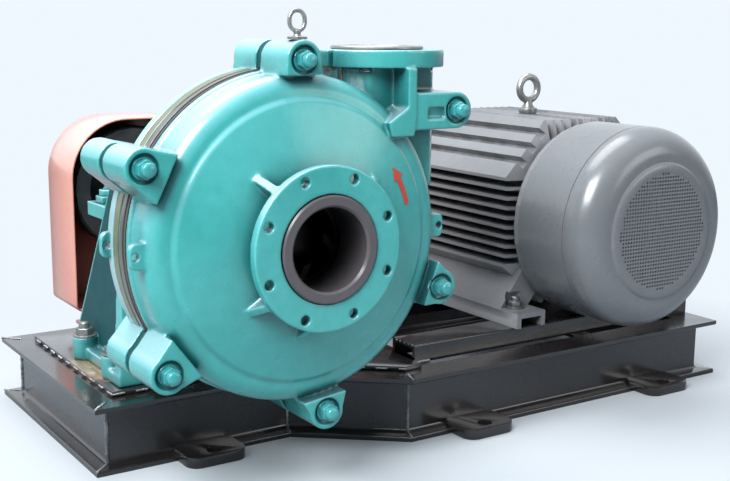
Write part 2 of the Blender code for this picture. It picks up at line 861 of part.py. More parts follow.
def cover_plate():
    outer = [(throat_outer_radius + touch_gap, suction_face), (suction_flange_radius, suction_face),
             (suction_flange_radius, suction_face + suction_flange_thickness),
             (neck_radius, suction_face + suction_flange_thickness), (neck_radius, neck_face),
             (crease_radius - crease_width, crease_front - crease_depth), (crease_radius, crease_front)]
    outer += shoulder_curve(crease_radius, crease_front, casing_radius - rim_step, shoulder_front)
    outer += [(casing_radius - rim_step, cover_back - rim_width),
              (casing_radius, cover_back - rim_width + rim_step / 2), (casing_radius, cover_back)]
    bore = [(throat_outer_radius + touch_gap, neck_face + casing_wall)]
    cover = turned("cover_plate", outer + cover_inside(0) + bore, pump_axis, teal)
    lugs, cutters = casing_lugs(lug_front, cover_back, True)
    pads = [side_pad(side, pad_cover_back - pad_thickness, pad_cover_back) for side in pad_angles]
    neck = neck_tube(flange_reach(-1), cover_back, cover_hollow())
    join(cover, [neck, cut(neck_rib(), [cover_hollow()])] + lugs + pads
         + [gusset(angle) for angle in gusset_angles])
    cutters.append(box("groove", (arm_groove_left, arm_groove_right),
                       (lug_front - overrun, lug_front + arm_groove_depth),
                       (arm_groove_low, arm_groove_high), pump_axis, teal))
    for index in range(suction_hole_count):
        angle = math.radians(suction_hole_start + 360 * index / suction_hole_count)
        place = (suction_hole_circle * math.cos(angle), suction_hole_circle * math.sin(angle))
        cutters.append(rod("hole", "y", place, suction_hole_radius, suction_face - overrun,
                           suction_face + suction_flange_thickness + overrun, pump_axis, teal, bolt_steps))
    return cut(cover, cutters + discharge_cutters())


def frame_plate():
    wall = casing_radius - casing_wall
    profile = [(wall, frame_front), (casing_radius, frame_front), (casing_radius, frame_back - rim_step),
               (casing_radius - rim_step, frame_back), (stuffing_radius + touch_gap, frame_back),
               (stuffing_radius + touch_gap, frame_back - frame_wall), (wall, frame_back - frame_wall)]
    plate = turned("frame_plate", profile, pump_axis, teal)
    lugs, cutters = casing_lugs(frame_front, lug_back, False)
    pads = [side_pad(side, pad_frame_front, pad_frame_front + pad_thickness) for side in pad_angles]
    hollow = rod("inside", "y", (0, 0), casing_radius - casing_wall / 2, frame_front - overrun,
                 frame_back - frame_wall / 2, pump_axis, teal, ring_steps)
    join(plate, [neck_tube(frame_front, flange_reach(1), hollow)] + lugs + pads)
    return cut(plate, cutters + discharge_cutters())


def casing_gasket():
    """The liner's rim and seal that show as a band between the two halves."""
    start, end = cover_back + touch_gap, frame_front - touch_gap
    ring = rod("casing_gasket", "y", (0, 0), casing_radius - touch_gap, start, end, pump_axis,
               (gasket_tan, 0.7),
               ring_steps)
    half = math.sqrt(discharge_neck_radius ** 2 - (discharge_y - cover_back) ** 2)
    neck = box("neck", (discharge_x - half, discharge_x + half), (start, end),
               (discharge_neck_foot, discharge_top - discharge_flange_thickness), pump_axis, teal)
    cutters = [rod("inside", "y", (0, 0), casing_radius - casing_wall, start - overrun, end + overrun,
                   pump_axis, teal,
                   ring_steps)]
    bore = sleeve_liner_radius + touch_gap
    cutters.append(box("bore", (discharge_x - bore, discharge_x + bore), (start - overrun, end + overrun),
                       (sleeve_liner_foot - touch_gap, discharge_top), pump_axis, teal))
    cutters.append(rod("hole", "y", lug_places[-1], lug_hole_radius, start - overrun, end + overrun,
                       pump_axis, teal,
                       bolt_steps))
    return cut(join(ring, [neck]), cutters)


def lug_bolt(index):
    """A stud with a washer and nut at the front and a nut at the back."""
    centre = lug_places[index]
    seat = lug_front + lug_recess_depth - touch_gap
    nut_back = seat - washer_thickness
    stud = rod("cover_bolt_%d" % (index + 1), "y", centre, bolt_radius, nut_back - nut_thickness - bolt_tail,
               lug_back + touch_gap + nut_thickness + bolt_tail / 2, pump_axis, teal, bolt_steps)
    washer = rod("washer", "y", centre, washer_radius, nut_back, seat, pump_axis, teal, bolt_steps)
    front_nut = extruded("nut", hex_points(centre, nut_across), "y", nut_back - nut_thickness,
                         nut_back + touch_gap,
                         pump_axis, teal)
    back_nut = extruded("nut", hex_points(centre, nut_across), "y", lug_back + touch_gap,
                        lug_back + touch_gap + nut_thickness, pump_axis, teal)
    return join(stud, [washer, front_nut, back_nut])


def lifting_eye():
    """An oval link on a short stem, screwed into the top of the uppermost lug."""
    x, z = lug_places[0]
    y = (lug_front + cover_back) / 2
    seat = z + lug_radius + touch_gap
    stem = rod("lifting_eye", "z", (x, y), eye_stem_radius, seat, seat + eye_stem_length, pump_axis,
               zinc_plate,
               bolt_steps)
    half_width = (eye_link_width - eye_link_wire) / 2
    straight = (eye_link_height - eye_link_width) / 2
    middle = seat + eye_stem_length + straight + half_width
    circle = circle_points((0, 0), half_width, round_steps, wire_turn)
    centre_line = [(a, b + (straight if b > 0 else -straight)) for a, b in circle]
    link = tube_ring("link", [(x + a, y, middle + b) for a, b in centre_line], eye_link_wire,
                     Vector((0, 1, 0)),
                     pump_axis, zinc_plate)
    return join(stem, [link])


def tube_ring(name, path, radius, normal, parent, look, sides=wire_sides):
    """A round wire bent into a flat closed loop; normal stands across the loop."""
    bm = bmesh.new()
    rings = []
    places = [Vector(point) for point in path]
    for index, place in enumerate(places):
        along = (places[(index + 1) % len(places)] - places[index - 1]).normalized()
        across = along.cross(normal)
        rings.append([bm.verts.new(place + (across * math.cos(turn) + normal * math.sin(turn)) * radius)
                      for turn in (math.tau * side / sides for side in range(sides))])
    for ring, following in zip(rings, rings[1:] + rings[:1]):
        for side in range(sides):
            other = (side + 1) % sides
            bm.faces.new((ring[side], ring[other], following[other], following[side]))
    return finished(name, bm, parent, *look)


cover_plate()
frame_plate()
casing_gasket()
for bolt_index in range(len(lug_places)):
    lug_bolt(bolt_index)
lifting_eye()


# Wet end: liners, bush and impeller

def volute_outline():
    """The flow passage's spiral, widening the way the impeller turns from the cutwater round to the neck."""
    points = []
    steps = ring_steps
    for step in range(steps):
        share = step / (steps - 1)
        angle = math.radians(volute_cutwater_angle) + math.tau * share * (steps - 1) / steps
        radius = volute_start_radius + (volute_end_radius - volute_start_radius) * share
        points.append((radius * math.cos(angle), radius * math.sin(angle)))
    return points


def volute_liner():
    outer = [(casing_radius - casing_wall - touch_gap, liner_back)] + cover_inside(touch_gap)[:-1]
    outer += [(throat_disc_radius + touch_gap, cover_cone_y(throat_disc_radius + touch_gap, touch_gap)),
              (throat_disc_radius + touch_gap, liner_back)]
    liner = turned("volute_liner", outer, pump_axis, dark_alloy)
    neck = rod("neck", "z", (discharge_x, discharge_y), sleeve_liner_radius, sleeve_liner_foot,
               discharge_top + discharge_ring_height / 2, pump_axis, dark_alloy)
    ring = rod("ring", "z", (discharge_x, discharge_y), discharge_ring_radius, discharge_top + touch_gap,
               discharge_top + discharge_ring_height, pump_axis, dark_alloy)
    join(liner, [neck, ring])
    cavity = extruded("cavity", volute_outline(), "y", cavity_front, cavity_back, pump_axis, dark_alloy)
    bore = rod("bore", "z", (discharge_x, discharge_y), discharge_bore_radius, sleeve_liner_foot + overrun,
               discharge_top + discharge_ring_height + overrun, pump_axis, dark_alloy)
    return cut(liner, [cavity, bore])


def throat_bush():
    """The suction liner: a tube through the cover's neck with a disc that closes the volute's front."""
    profile = [(throat_bore_radius, suction_face - throat_proud),
               (throat_outer_radius, suction_face - throat_proud),
               (throat_outer_radius, neck_face + casing_wall + touch_gap),
               (neck_radius, neck_face + casing_wall + touch_gap),
               (throat_disc_radius, cover_cone_y(throat_disc_radius, touch_gap)),
               (throat_disc_radius, cavity_front),
               (throat_bore_radius, cavity_front)]
    return turned("throat_bush", profile, pump_axis, dark_alloy)


def back_liner():
    profile = [(stuffing_throat_radius, cavity_back), (back_disc_radius, cavity_back),
               (back_disc_radius, liner_back),
               (stuffing_throat_radius, liner_back)]
    return turned("back_liner", profile, pump_axis, dark_alloy)


def vane_outline(index):
    """One blade that sweeps back from the eye to the impeller's edge."""
    front, back = [], []
    for step in range(arc_steps + 2):
        share = step / (arc_steps + 1)
        radius = vane_start_radius + (impeller_radius - overrun / 2 - vane_start_radius) * share
        angle = math.tau * index / vane_count - math.radians(vane_sweep) * share
        half = vane_thickness / 2 / radius
        front.append((radius * math.cos(angle + half), radius * math.sin(angle + half)))
        back.append((radius * math.cos(angle - half), radius * math.sin(angle - half)))
    return front + back[::-1]


def impeller():
    front, back = impeller_front, impeller_back
    body = [(0, impeller_bore_end), (impeller_bore, impeller_bore_end), (impeller_bore, back),
            (impeller_radius, back), (impeller_radius, back - shroud_thickness),
            (impeller_hub_radius + shroud_thickness, back - shroud_thickness),
            (impeller_hub_radius, back - shroud_thickness * 2),
            (impeller_hub_radius, impeller_nose + shroud_thickness),
            (impeller_hub_radius - shroud_thickness, impeller_nose), (0, impeller_nose)]
    hub = turned("impeller", body, pump_axis, dark_alloy)
    shroud = turned("shroud", [(impeller_eye_radius, front), (impeller_radius, front),
                               (impeller_radius, front + shroud_thickness),
                               (impeller_eye_radius, front + shroud_thickness)], pump_axis, dark_alloy)
    vanes = [extruded("vane", vane_outline(index), "y", front + shroud_thickness / 2,
                      back - shroud_thickness / 2,
                      pump_axis, dark_alloy) for index in range(vane_count)]
    return join(hub, vanes + [shroud])


volute_liner()
throat_bush()
back_liner()
impeller()


# Shaft, seal, bearings and their base

def shaft_piece(name, profile, look, parent=pump_axis, steps=shaft_steps):
    return turned(name, profile, parent, look, steps)


def tube_profile(inner, outer, start, end):
    return [(inner, start), (outer, start), (outer, end), (inner, end)]


def pump_shaft():
    tip = impeller_bore_end + touch_gap
    step = impeller_back + touch_gap
    return shaft_piece("pump_shaft", [(0, tip), (shaft_thread_radius, tip), (shaft_thread_radius, step),
                                      (shaft_radius, step), (shaft_radius, shaft_end), (0, shaft_end)],
                                      bare_steel)


def stuffing_box():
    front = frame_back - frame_wall
    profile = [(stuffing_throat_radius, front), (stuffing_radius, front), (stuffing_radius, stuffing_end),
               (stuffing_bore_radius, stuffing_end), (stuffing_bore_radius, stuffing_throat_end),
               (stuffing_throat_radius, stuffing_throat_end)]
    return shaft_piece("stuffing_box", profile, teal, steps=ring_steps)


def gland_follower():
    bore = sleeve_radius + running_gap / 2
    nose = stuffing_bore_radius - touch_gap
    flange_end = gland_nose_end + gland_flange_thickness
    profile = [(bore, packing_back + touch_gap), (nose, packing_back + touch_gap), (nose, gland_nose_end),
               (gland_flange_radius, gland_nose_end), (gland_flange_radius, flange_end), (bore, flange_end)]
    return shaft_piece("gland_follower", profile, cast_iron)


def bearing(name, start):
    """A roller bearing as one ring with a groove in each face between its races."""
    inner, outer = shaft_radius + turning_gap, housing_bore_radius - touch_gap
    race = (outer - inner) * bearing_race_share
    dip = bearing_width * bearing_dip_share
    end = start + bearing_width
    profile = [(inner, start), (inner + race, start), (inner + race, start + dip),
               (outer - race, start + dip),
               (outer - race, start), (outer, start), (outer, end), (outer - race, end),
               (outer - race, end - dip),
               (inner + race, end - dip), (inner + race, end), (inner, end)]
    return shaft_piece(name, profile, bare_steel)


def bearing_housing():
    rib_front, rib_back = housing_front + housing_rib_width, housing_back - housing_rib_width
    slope = housing_rib_radius - housing_radius
    profile = [(housing_bore_radius, housing_front), (housing_rib_radius, housing_front),
               (housing_rib_radius, rib_front),
               (housing_radius, rib_front + slope), (housing_radius, rib_back - slope),
               (housing_rib_radius, rib_back),
               (housing_rib_radius, housing_back), (housing_bore_radius, housing_back)]
    return shaft_piece("bearing_housing", profile, teal, steps=ring_steps)


def bearing_cover(name, face, outward, bearing_side):
    """An end cover: a flange on the housing's face, a spigot that holds the bearing and a nose outside."""
    bore = shaft_radius + running_gap
    spigot = housing_bore_radius - touch_gap
    near, far = face + outward * touch_gap, face + outward * cover_flange_thickness
    tip = bearing_side + outward * touch_gap
    nose = far + outward * cover_nose_depth
    profile = [(bore, tip), (spigot, tip), (spigot, near), (cover_flange_radius, near),
               (cover_flange_radius, far),
               (spigot, far), (spigot - cover_nose_wall, nose), (bore, nose)]
    return shaft_piece(name, profile, teal)


def half_ring(radius, lift):
    """Points over the top of a circle, starting and ending at a small angle above the level."""
    steps = ring_steps // 2
    return [(radius * math.cos(lift + (math.pi - 2 * lift) * step / steps),
             radius * math.sin(lift + (math.pi - 2 * lift) * step / steps)) for step in range(steps + 1)]


def housing_strap(name, middle):
    """A half ring over the housing whose ears stand on the saddle."""
    inner, outer = housing_radius + touch_gap, housing_radius + touch_gap + strap_thickness
    ear = outer + strap_ear
    foot, height = touch_gap, strap_thickness + touch_gap
    top = half_ring(outer, math.asin(height / outer))
    under = half_ring(inner, math.asin(foot / inner))[::-1]
    outline = [(ear, foot), (ear, height)] + top + [(-ear, height), (-ear, foot)] + under
    strap = extruded(name, outline, "y", middle - clamp_width / 2, middle + clamp_width / 2, pump_axis, teal)
    nuts = []
    for side in (-1, 1):
        place = (side * (outer + strap_ear / 2), middle)
        nuts.append(extruded("nut", hex_points(place, base_nut_across), "z", height - overrun / 2,
                             height + base_nut_thickness, pump_axis, teal))
    return join(strap, nuts)


def bearing_base():
    """Two side walls on feet, a plate against the casing, and a saddle between them for the housing."""
    floor = deck_top + touch_gap - pump_axis_height
    plate_start = frame_back + touch_gap
    plate_end = plate_start + base_front_plate
    half, inner_half = base_half_width, base_half_width - base_wall
    saddle_outer = saddle_radius
    plate_outline = [(-half + base_corner, base_plate_low), (half - base_corner, base_plate_low),
                     (half, base_plate_low + base_corner), (half, base_top), (-half, base_top),
                     (-half, base_plate_low + base_corner)]
    base = extruded("bearing_base", plate_outline, "y", plate_start, plate_end, pump_axis, teal)
    wall_outline = [(plate_start + overrun / 2, base_front_low), (base_wall_front, base_knee_height),
                    (base_wall_front, floor), (base_foot_back, floor), (base_top_back, base_top),
                    (plate_start + overrun / 2, base_top)]
    pieces = []
    for side in (-1, 1):
        pieces.append(extruded("wall", wall_outline, "x", side * inner_half, side * half, pump_axis, teal))
        strip = [(side * base_strip_outer, base_foot_front), (side * base_strip_outer, base_bolt_ys[1]),
                 (side * (half - overrun), base_bolt_ys[1]),
                 (side * (half - overrun), base_foot_back - overrun),
                 (side * base_strip_inner, base_foot_back - overrun),
                 (side * base_strip_inner, base_foot_front)]
        pieces.append(extruded("strip", strip, "z", floor, floor + base_strip_height, pump_axis, teal))
        for y in base_bolt_ys:
            pieces.append(rod("boss", "z", (side * base_bolt_x, y), base_boss_radius, floor,
                              floor + base_boss_height,
                              pump_axis, teal))
    saddle = [(-inner_half - overrun / 2, 0), (-inner_half - overrun / 2, -strap_thickness * 2)]
    saddle += arc_points((0, 0), saddle_outer, 180 + saddle_start_angle, 360 - saddle_start_angle,
                         arc_steps * 3)
    saddle += [(inner_half + overrun / 2, -strap_thickness * 2), (inner_half + overrun / 2, 0)]
    pieces.append(extruded("saddle", saddle, "y", saddle_front, saddle_back, pump_axis, teal))
    rear_low = floor + base_strip_height / 2
    rear = [(-inner_half - overrun / 2, rear_low), (inner_half + overrun / 2, rear_low),
            (rear_wall_top_half, -saddle_outer / 2), (-rear_wall_top_half, -saddle_outer / 2)]
    pieces.append(extruded("rear_wall", rear, "y", saddle_back - base_wall * 2, saddle_back - base_wall,
                           pump_axis, teal))
    join(base, pieces)
    cutters = [rod("hole", "y", (0, 0), base_hole_radius, plate_start - overrun, plate_end + overrun,
                   pump_axis, teal),
               rod("trough", "y", (0, 0), housing_radius + touch_gap, plate_end, saddle_back + overrun,
                   pump_axis,
                   teal, ring_steps)]
    for side in (-1, 1):
        for y in base_bolt_ys:
            cutters.append(rod("hole", "z", (side * base_bolt_x, y), base_bolt_radius + hole_clearance,
                               floor - overrun, floor + base_boss_height + overrun, pump_axis, teal,
                               bolt_steps))
    return cut(base, cutters)


pump_shaft()
stuffing_box()
gland_follower()
shaft_piece("gland_packing", tube_profile(sleeve_radius + turning_gap, stuffing_bore_radius - touch_gap,
                                          stuffing_throat_end + touch_gap,
                                          packing_back), (packing_fibre, 0.9))
shaft_piece("shaft_sleeve", tube_profile(shaft_radius + touch_gap, sleeve_radius, impeller_back + touch_gap,
                                         sleeve_end), bare_steel)
bearing_housing()
front_bearing_start = housing_front + bearing_inset
rear_bearing_start = housing_back - bearing_inset - bearing_width
bearing("bearing_front", front_bearing_start)
bearing("bearing_rear", rear_bearing_start)
bearing_cover("bearing_cover_front", housing_front, -1, front_bearing_start)
bearing_cover("bearing_cover_rear", housing_back, 1, rear_bearing_start + bearing_width)
housing_strap("housing_strap_front", strap_ys[0])
housing_strap("housing_strap_rear", strap_ys[1])
bearing_base()


def standing_bolt(name, place, anchor_piece, seat, low, radius, across, nut, tail, look):
    """A bolt that stands in a foot: hexagon under the foot's carrier, nut and thread end above it."""
    shank = rod(name, "z", place, radius, low - nut, seat + nut + tail, anchor_piece, look, bolt_steps)
    upper = extruded("nut", hex_points(place, across), "z", seat, seat + nut, anchor_piece, look)
    lower = extruded("head", hex_points(place, across), "z", low - nut, low, anchor_piece, look)
    return join(shank, [upper, lower])


bolt_number = 0
for side in (-1, 1):
    for y in base_bolt_ys:
        bolt_number += 1
        standing_bolt("base_bolt_%d" % bolt_number, (side * base_bolt_x, y), floor_anchor,
                      deck_top + base_boss_height + touch_gap * 2, rail_base - touch_gap, base_bolt_radius,
                      base_nut_across, base_nut_thickness, base_bolt_tail, zinc_plate)


# Motor

def comb(count, pitch, thickness, tip, root):
    """Teeth along an axis, as (along, out) points from one side to the other."""
    points = []
    for index in range(count):
        middle = (index - (count - 1) / 2) * pitch
        points += [(middle - thickness / 2, root), (middle - thickness / 2, tip),
                   (middle + thickness / 2, tip), (middle + thickness / 2, root)]
    return points


def motor_section():
    """The finned frame's outline: level fins at the sides, upright ones above and below, grooved corners."""
    side = comb(motor_fin_count, motor_fin_pitch, motor_fin_thickness, motor_side_reach, motor_body_radius)
    top = comb(motor_top_fin_count, motor_fin_pitch, motor_fin_thickness, motor_top_reach, motor_body_radius)
    low = comb(motor_top_fin_count, motor_fin_pitch, motor_fin_thickness, motor_bottom_reach,
               motor_body_radius)
    right = [(out, along) for along, out in side][1:-1]
    upper = [(-along, out) for along, out in top][1:-1]
    left = [(-out, -along) for along, out in side][1:-1]
    under = [(along, -out) for along, out in low][1:-1]
    upper_right = corner_grooves(right[-1], upper[0])
    upper_left = corner_grooves(upper[-1], left[0])
    return right + upper_right + upper + upper_left + left + under


def corner_grooves(start, end):
    """The corner's face between two fins, cut by square grooves."""
    start, end = Vector(start), Vector(end)
    along = end - start
    inward = Vector((-along.y, along.x)).normalized() * motor_groove_depth
    points = []
    for index in range(motor_corner_grooves):
        near = start + along * ((index + groove_land_share) / (motor_corner_grooves + 1))
        far = start + along * ((index + 1) / (motor_corner_grooves + 1))
        points += [tuple(near), tuple(near + inward), tuple(far + inward), tuple(far)]
    return points


def motor_frame():
    frame = extruded("motor_frame", motor_section(), "y", motor_body_front, motor_body_back, motor_axis,
                     motor_grey)
    pieces, cutters = [], []
    foot_low = -motor_rise + touch_gap
    foot_high = foot_low + motor_foot_height
    for side in (-1, 1):
        web = [(side * motor_foot_inner, foot_high - overrun), (side * motor_foot_outer, foot_high - overrun),
               (side * (motor_foot_inner - overrun), -motor_foot_web_height),
               (side * (motor_body_radius * web_root_share), -motor_foot_web_height)]
        foot = box("foot", sorted((side * motor_foot_inner, side * motor_foot_outer)),
                   (motor_foot_front, motor_foot_back),
                   (foot_low, foot_high), motor_axis, motor_grey)
        pieces += [foot, extruded("web", web, "y", motor_body_front + overrun, motor_foot_back - overrun,
                                  motor_axis,
                                  motor_grey)]
        inner = side * (motor_foot_inner + motor_foot_wall)
        outer = side * (motor_foot_outer - motor_foot_wall)
        cutters.append(box("hollow", sorted((inner, outer)),
                           (motor_foot_front - overrun, motor_foot_back + overrun),
                           (foot_low - overrun, foot_high - motor_foot_wall), motor_axis, motor_grey))
        for y in motor_bolt_ys:
            cutters.append(rod("hole", "z", (side * motor_bolt_x, y), motor_bolt_radius + hole_clearance,
                               foot_low - overrun, foot_high + overrun, motor_axis, motor_grey, bolt_steps))
            cutters.append(rod("spot", "z", (side * motor_bolt_x, y), motor_nut_across * spot_share,
                               foot_high, foot_high + motor_foot_height, motor_axis, motor_grey, bolt_steps))
    pieces.append(rod("eye_boss", "z", (0, motor_eye_y), motor_eye_collar_radius + motor_fin_thickness, 0,
                      motor_top_reach, motor_axis, motor_grey, bolt_steps))
    cutters.append(rod("bore", "y", (0, 0), motor_bore_radius, motor_body_front - overrun,
                       motor_body_back + overrun,
                       motor_axis, motor_grey, ring_steps))
    cutters.append(box("seat", (terminal_inner - touch_gap, motor_side_reach + overrun),
                       (terminal_front - touch_gap, terminal_back + touch_gap),
                       (terminal_low - touch_gap, terminal_high + touch_gap), motor_axis, motor_grey))
    return cut(join(frame, pieces), cutters)


def fan_shield():
    """The fan-end bearing shield, whose rim carries the fan cover."""
    rim = fan_cover_radius - fan_cover_wall - touch_gap
    front, back = motor_body_front - touch_gap - fan_shield_depth, motor_body_front - touch_gap
    bore = motor_shaft_radius + running_gap
    profile = [(bore, front), (shield_boss_radius, front),
               (shield_boss_radius + overrun, front + shield_thickness / 2),
               (rim - shield_thickness / 2, front + shield_thickness / 2),
               (rim - shield_thickness / 2, front),
               (rim, front), (rim, back), (bore, back)]
    return turned("end_shield_fan", profile, motor_axis, motor_grey)


def drive_shield():
    front = motor_body_back + touch_gap
    back = front + shield_thickness
    nose = back + shield_boss_length
    bore = motor_shaft_radius + running_gap
    profile = [(bore, front), (shield_radius, front), (shield_radius, back - shield_thickness / 2),
               (shield_radius - shield_thickness / 2, back), (shield_boss_radius + overrun, back),
               (shield_boss_radius, nose), (bore, nose)]
    return turned("end_shield_drive", profile, motor_axis, motor_grey)


def fan_cover():
    """A thin drum with a rounded front and a square-holed grille in its face."""
    wall = fan_cover_wall
    radius, front, back, corner = fan_cover_radius, fan_cover_front, fan_cover_back, fan_cover_round
    step_radius = grille_radius + grille_pitch / 2
    outer = [(0, front), (step_radius, front), (step_radius + fan_cover_step, front + fan_cover_step)]
    outer += cover_round(radius, front + fan_cover_step, corner)
    outer += [(radius, back), (radius - wall, back)]
    outer += [(r - wall, y + wall) for r, y in cover_round(radius, front + fan_cover_step, corner)[::-1]]
    outer += [(step_radius, front + fan_cover_step + wall), (step_radius - fan_cover_step, front + wall),
              (0, front + wall)]
    drum = turned("fan_cover", outer, motor_axis, motor_grey)
    count = int(grille_radius // grille_pitch)
    half = (grille_pitch - grille_bar) / 2
    holes = bmesh.new()
    for column in range(-count, count + 1):
        for row in range(-count, count + 1):
            x, z = column * grille_pitch, row * grille_pitch
            if math.hypot(x, z) + grille_pitch * grille_edge_share > grille_radius:
                continue
            made = bmesh.ops.create_cube(holes, size=1)
            bmesh.ops.scale(holes, verts=made["verts"], vec=(half * 2, wall + overrun * 2, half * 2))
            bmesh.ops.translate(holes, verts=made["verts"], vec=(x, front + wall / 2, z))
    return cut(drum, [finished("holes", holes, motor_axis, *motor_grey)])


def cover_round(radius, front, corner):
    turns = [math.pi / 2 * step / arc_steps for step in range(arc_steps + 1)]
    return [(radius - corner + corner * math.sin(turn), front + corner - corner * math.cos(turn))
            for turn in turns]


def motor_fan():
    hub = turned("motor_fan",
                 tube_profile(motor_shaft_radius + touch_gap, fan_hub_radius, fan_front, fan_back),
                 motor_axis, (rubber, 0.5))
    disc = turned("disc", tube_profile(fan_hub_radius - overrun, fan_radius * fan_disc_share,
                                       fan_back - fan_disc_thickness, fan_back), motor_axis, (rubber, 0.5),
                                       shaft_steps)
    blades = []
    for index in range(fan_blade_count):
        blade = box("blade", (fan_hub_radius - overrun / 2, fan_radius),
                    (fan_front + overrun / 2, fan_back - overrun / 2),
                    (-fan_blade_thickness / 2, fan_blade_thickness / 2), motor_axis, (rubber, 0.5))
        blade.data.transform(Matrix.Rotation(math.tau * index / fan_blade_count, 4, 'Y'))
        blades.append(blade)
    return join(hub, [disc] + blades)


def motor_rotor():
    tip = fan_front - overrun
    profile = [(0, tip), (motor_shaft_radius, tip), (motor_shaft_radius, rotor_front),
               (rotor_radius, rotor_front),
               (rotor_radius, rotor_back), (motor_shaft_radius, rotor_back), (motor_shaft_radius, shaft_end),
               (0, shaft_end)]
    return turned("motor_rotor", profile, motor_axis, bare_steel, shaft_steps)


def terminal_box():
    inner = terminal_inner
    outer = motor_side_reach + terminal_width * terminal_proud_share
    body = box("terminal_box", (inner, outer), (terminal_front, terminal_back), (terminal_low, terminal_high),
               motor_axis, motor_grey)
    lip = terminal_lid / 2
    lid = box("lid", (outer - overrun / 2, outer + terminal_lid), (terminal_front - lip, terminal_back + lip),
              (terminal_low - lip, terminal_high + lip), motor_axis, motor_grey)
    gland = rod("gland", "y", ((motor_side_reach + outer) / 2, (terminal_low + terminal_high) / 2),
                terminal_gland_radius,
                terminal_front - terminal_gland_length, terminal_front + overrun, motor_axis, motor_grey,
                bolt_steps)
    return join(body, [lid, gland])


def motor_eye():
    seat = motor_top_reach + touch_gap
    collar = rod("motor_eye_bolt", "z", (0, motor_eye_y), motor_eye_collar_radius, seat,
                 seat + motor_eye_collar_height, motor_axis, zinc_plate, bolt_steps)
    middle = seat + motor_eye_collar_height + motor_eye_neck + motor_eye_radius
    stem = rod("stem", "z", (0, motor_eye_y), motor_eye_wire, seat + overrun / 2, middle - motor_eye_radius,
               motor_axis,
               zinc_plate, bolt_steps)
    circle = circle_points((0, 0), motor_eye_radius, round_steps, wire_turn)
    loop = [(a, motor_eye_y, middle + b) for a, b in circle]
    ring = tube_ring("ring", loop, motor_eye_wire, Vector((0, 1, 0)), motor_axis, zinc_plate)
    return join(collar, [stem, ring])


motor_frame()
fan_shield()
drive_shield()
fan_cover()
motor_fan()
motor_rotor()
terminal_box()
motor_eye()
bolt_number = 0
for side in (-1, 1):
    for y in motor_bolt_ys:
        bolt_number += 1
        standing_bolt("motor_bolt_%d" % bolt_number, (motor_x + side * motor_bolt_x, y), floor_anchor,
                      rail_top + motor_foot_height + touch_gap * 2, rail_top - rail_wall - touch_gap,
                      motor_bolt_radius, motor_nut_across, motor_nut_thickness, motor_bolt_tail, zinc_plate)


# Belt drive

def groove_centres():
    middle = (pulley_front + pulley_back) / 2
    return [middle + (index - (belt_count - 1) / 2) * belt_pitch for index in range(belt_count)]


def pulley(name, radius, bore, parent):
    """A V-belt pulley: a grooved rim, a recessed web and a hub on the shaft."""
    slope = (belt_width / 2 - belt_tip) / belt_depth
    top_half = belt_width / 2 + groove_clearance - belt_proud * slope
    foot_half = top_half - groove_depth * slope
    rim_inside = radius - groove_depth - pulley_rim
    middle = (pulley_front + pulley_back) / 2
    web_front, web_back = middle - pulley_web / 2, middle + pulley_web / 2
    hub_slope = (web_front - pulley_front) * hub_slope_share
    profile = [(bore, pulley_front), (pulley_hub_radius, pulley_front),
               (pulley_hub_radius + hub_slope, web_front),
               (rim_inside - hub_slope, web_front), (rim_inside, pulley_front), (radius, pulley_front)]
    for centre in groove_centres():
        profile += [(radius, centre - top_half), (radius - groove_depth, centre - foot_half),
                    (radius - groove_depth, centre + foot_half), (radius, centre + top_half)]
    profile += [(radius, pulley_back), (rim_inside, pulley_back), (rim_inside - hub_slope, web_back),
                (pulley_hub_radius + hub_slope, web_back), (pulley_hub_radius, pulley_back),
                (bore, pulley_back)]
    return turned(name, profile, parent, cast_iron, pulley_steps)


def belt_path(pump_side_radius, motor_side_radius):
    """A closed loop round both pulleys: two arcs joined by straight runs, as (x, z) from the pump axis."""
    across = Vector((motor_x, motor_axis_height - pump_axis_height))
    span = across.length
    turn = math.atan2(across.y, across.x)
    lean = math.acos((pump_side_radius - motor_side_radius) / span)
    points = []
    steps = pulley_steps // 2
    for step in range(steps + 1):
        angle = turn + lean + (math.tau - 2 * lean) * step / steps
        points.append(Vector((math.cos(angle), math.sin(angle))) * pump_side_radius)
    for step in range(steps + 1):
        angle = turn - lean + 2 * lean * step / steps
        points.append(across + Vector((math.cos(angle), math.sin(angle))) * motor_side_radius)
    return points


def v_belt(index, middle):
    """A trapezoid section that follows the loop at its inner and its outer radius."""
    bm = bmesh.new()
    loops = []
    for proud, half in ((belt_proud, belt_width / 2), (belt_proud - belt_depth, belt_tip)):
        path = belt_path(pump_pulley_radius + proud, motor_pulley_radius + proud)
        for side in (-1, 1):
            loops.append([bm.verts.new((point.x, middle + side * half, point.y)) for point in path])
    outer_front, outer_back, inner_front, inner_back = loops
    for first, second in ((outer_front, outer_back), (outer_back, inner_back), (inner_back, inner_front),
                          (inner_front, outer_front)):
        for step in range(len(first)):
            following = (step + 1) % len(first)
            bm.faces.new((first[step], first[following], second[following], second[step]))
    return finished("v_belt_%d" % (index + 1), bm, pump_axis, *black_rubber)


def rounded_outline(corners):
    """A polygon whose (x, z, radius) corners are rounded by arcs."""
    points = []
    for index, (x, z, radius) in enumerate(corners):
        corner = Vector((x, z))
        before = Vector(corners[index - 1][:2])
        after = Vector(corners[(index + 1) % len(corners)][:2])
        to_before, to_after = (before - corner).normalized(), (after - corner).normalized()
        half_angle = to_before.angle(to_after) / 2
        reach = radius / math.tan(half_angle)
        centre = corner + (to_before + to_after).normalized() * (radius / math.sin(half_angle))
        start, end = corner + to_before * reach - centre, corner + to_after * reach - centre
        sweep = start.angle_signed(end)
        first = math.atan2(start.y, start.x)
        points += [tuple(centre + Vector((math.cos(first - sweep * step / arc_steps),
                                          math.sin(first - sweep * step / arc_steps))) * radius)
                   for step in range(arc_steps + 1)]
    return points


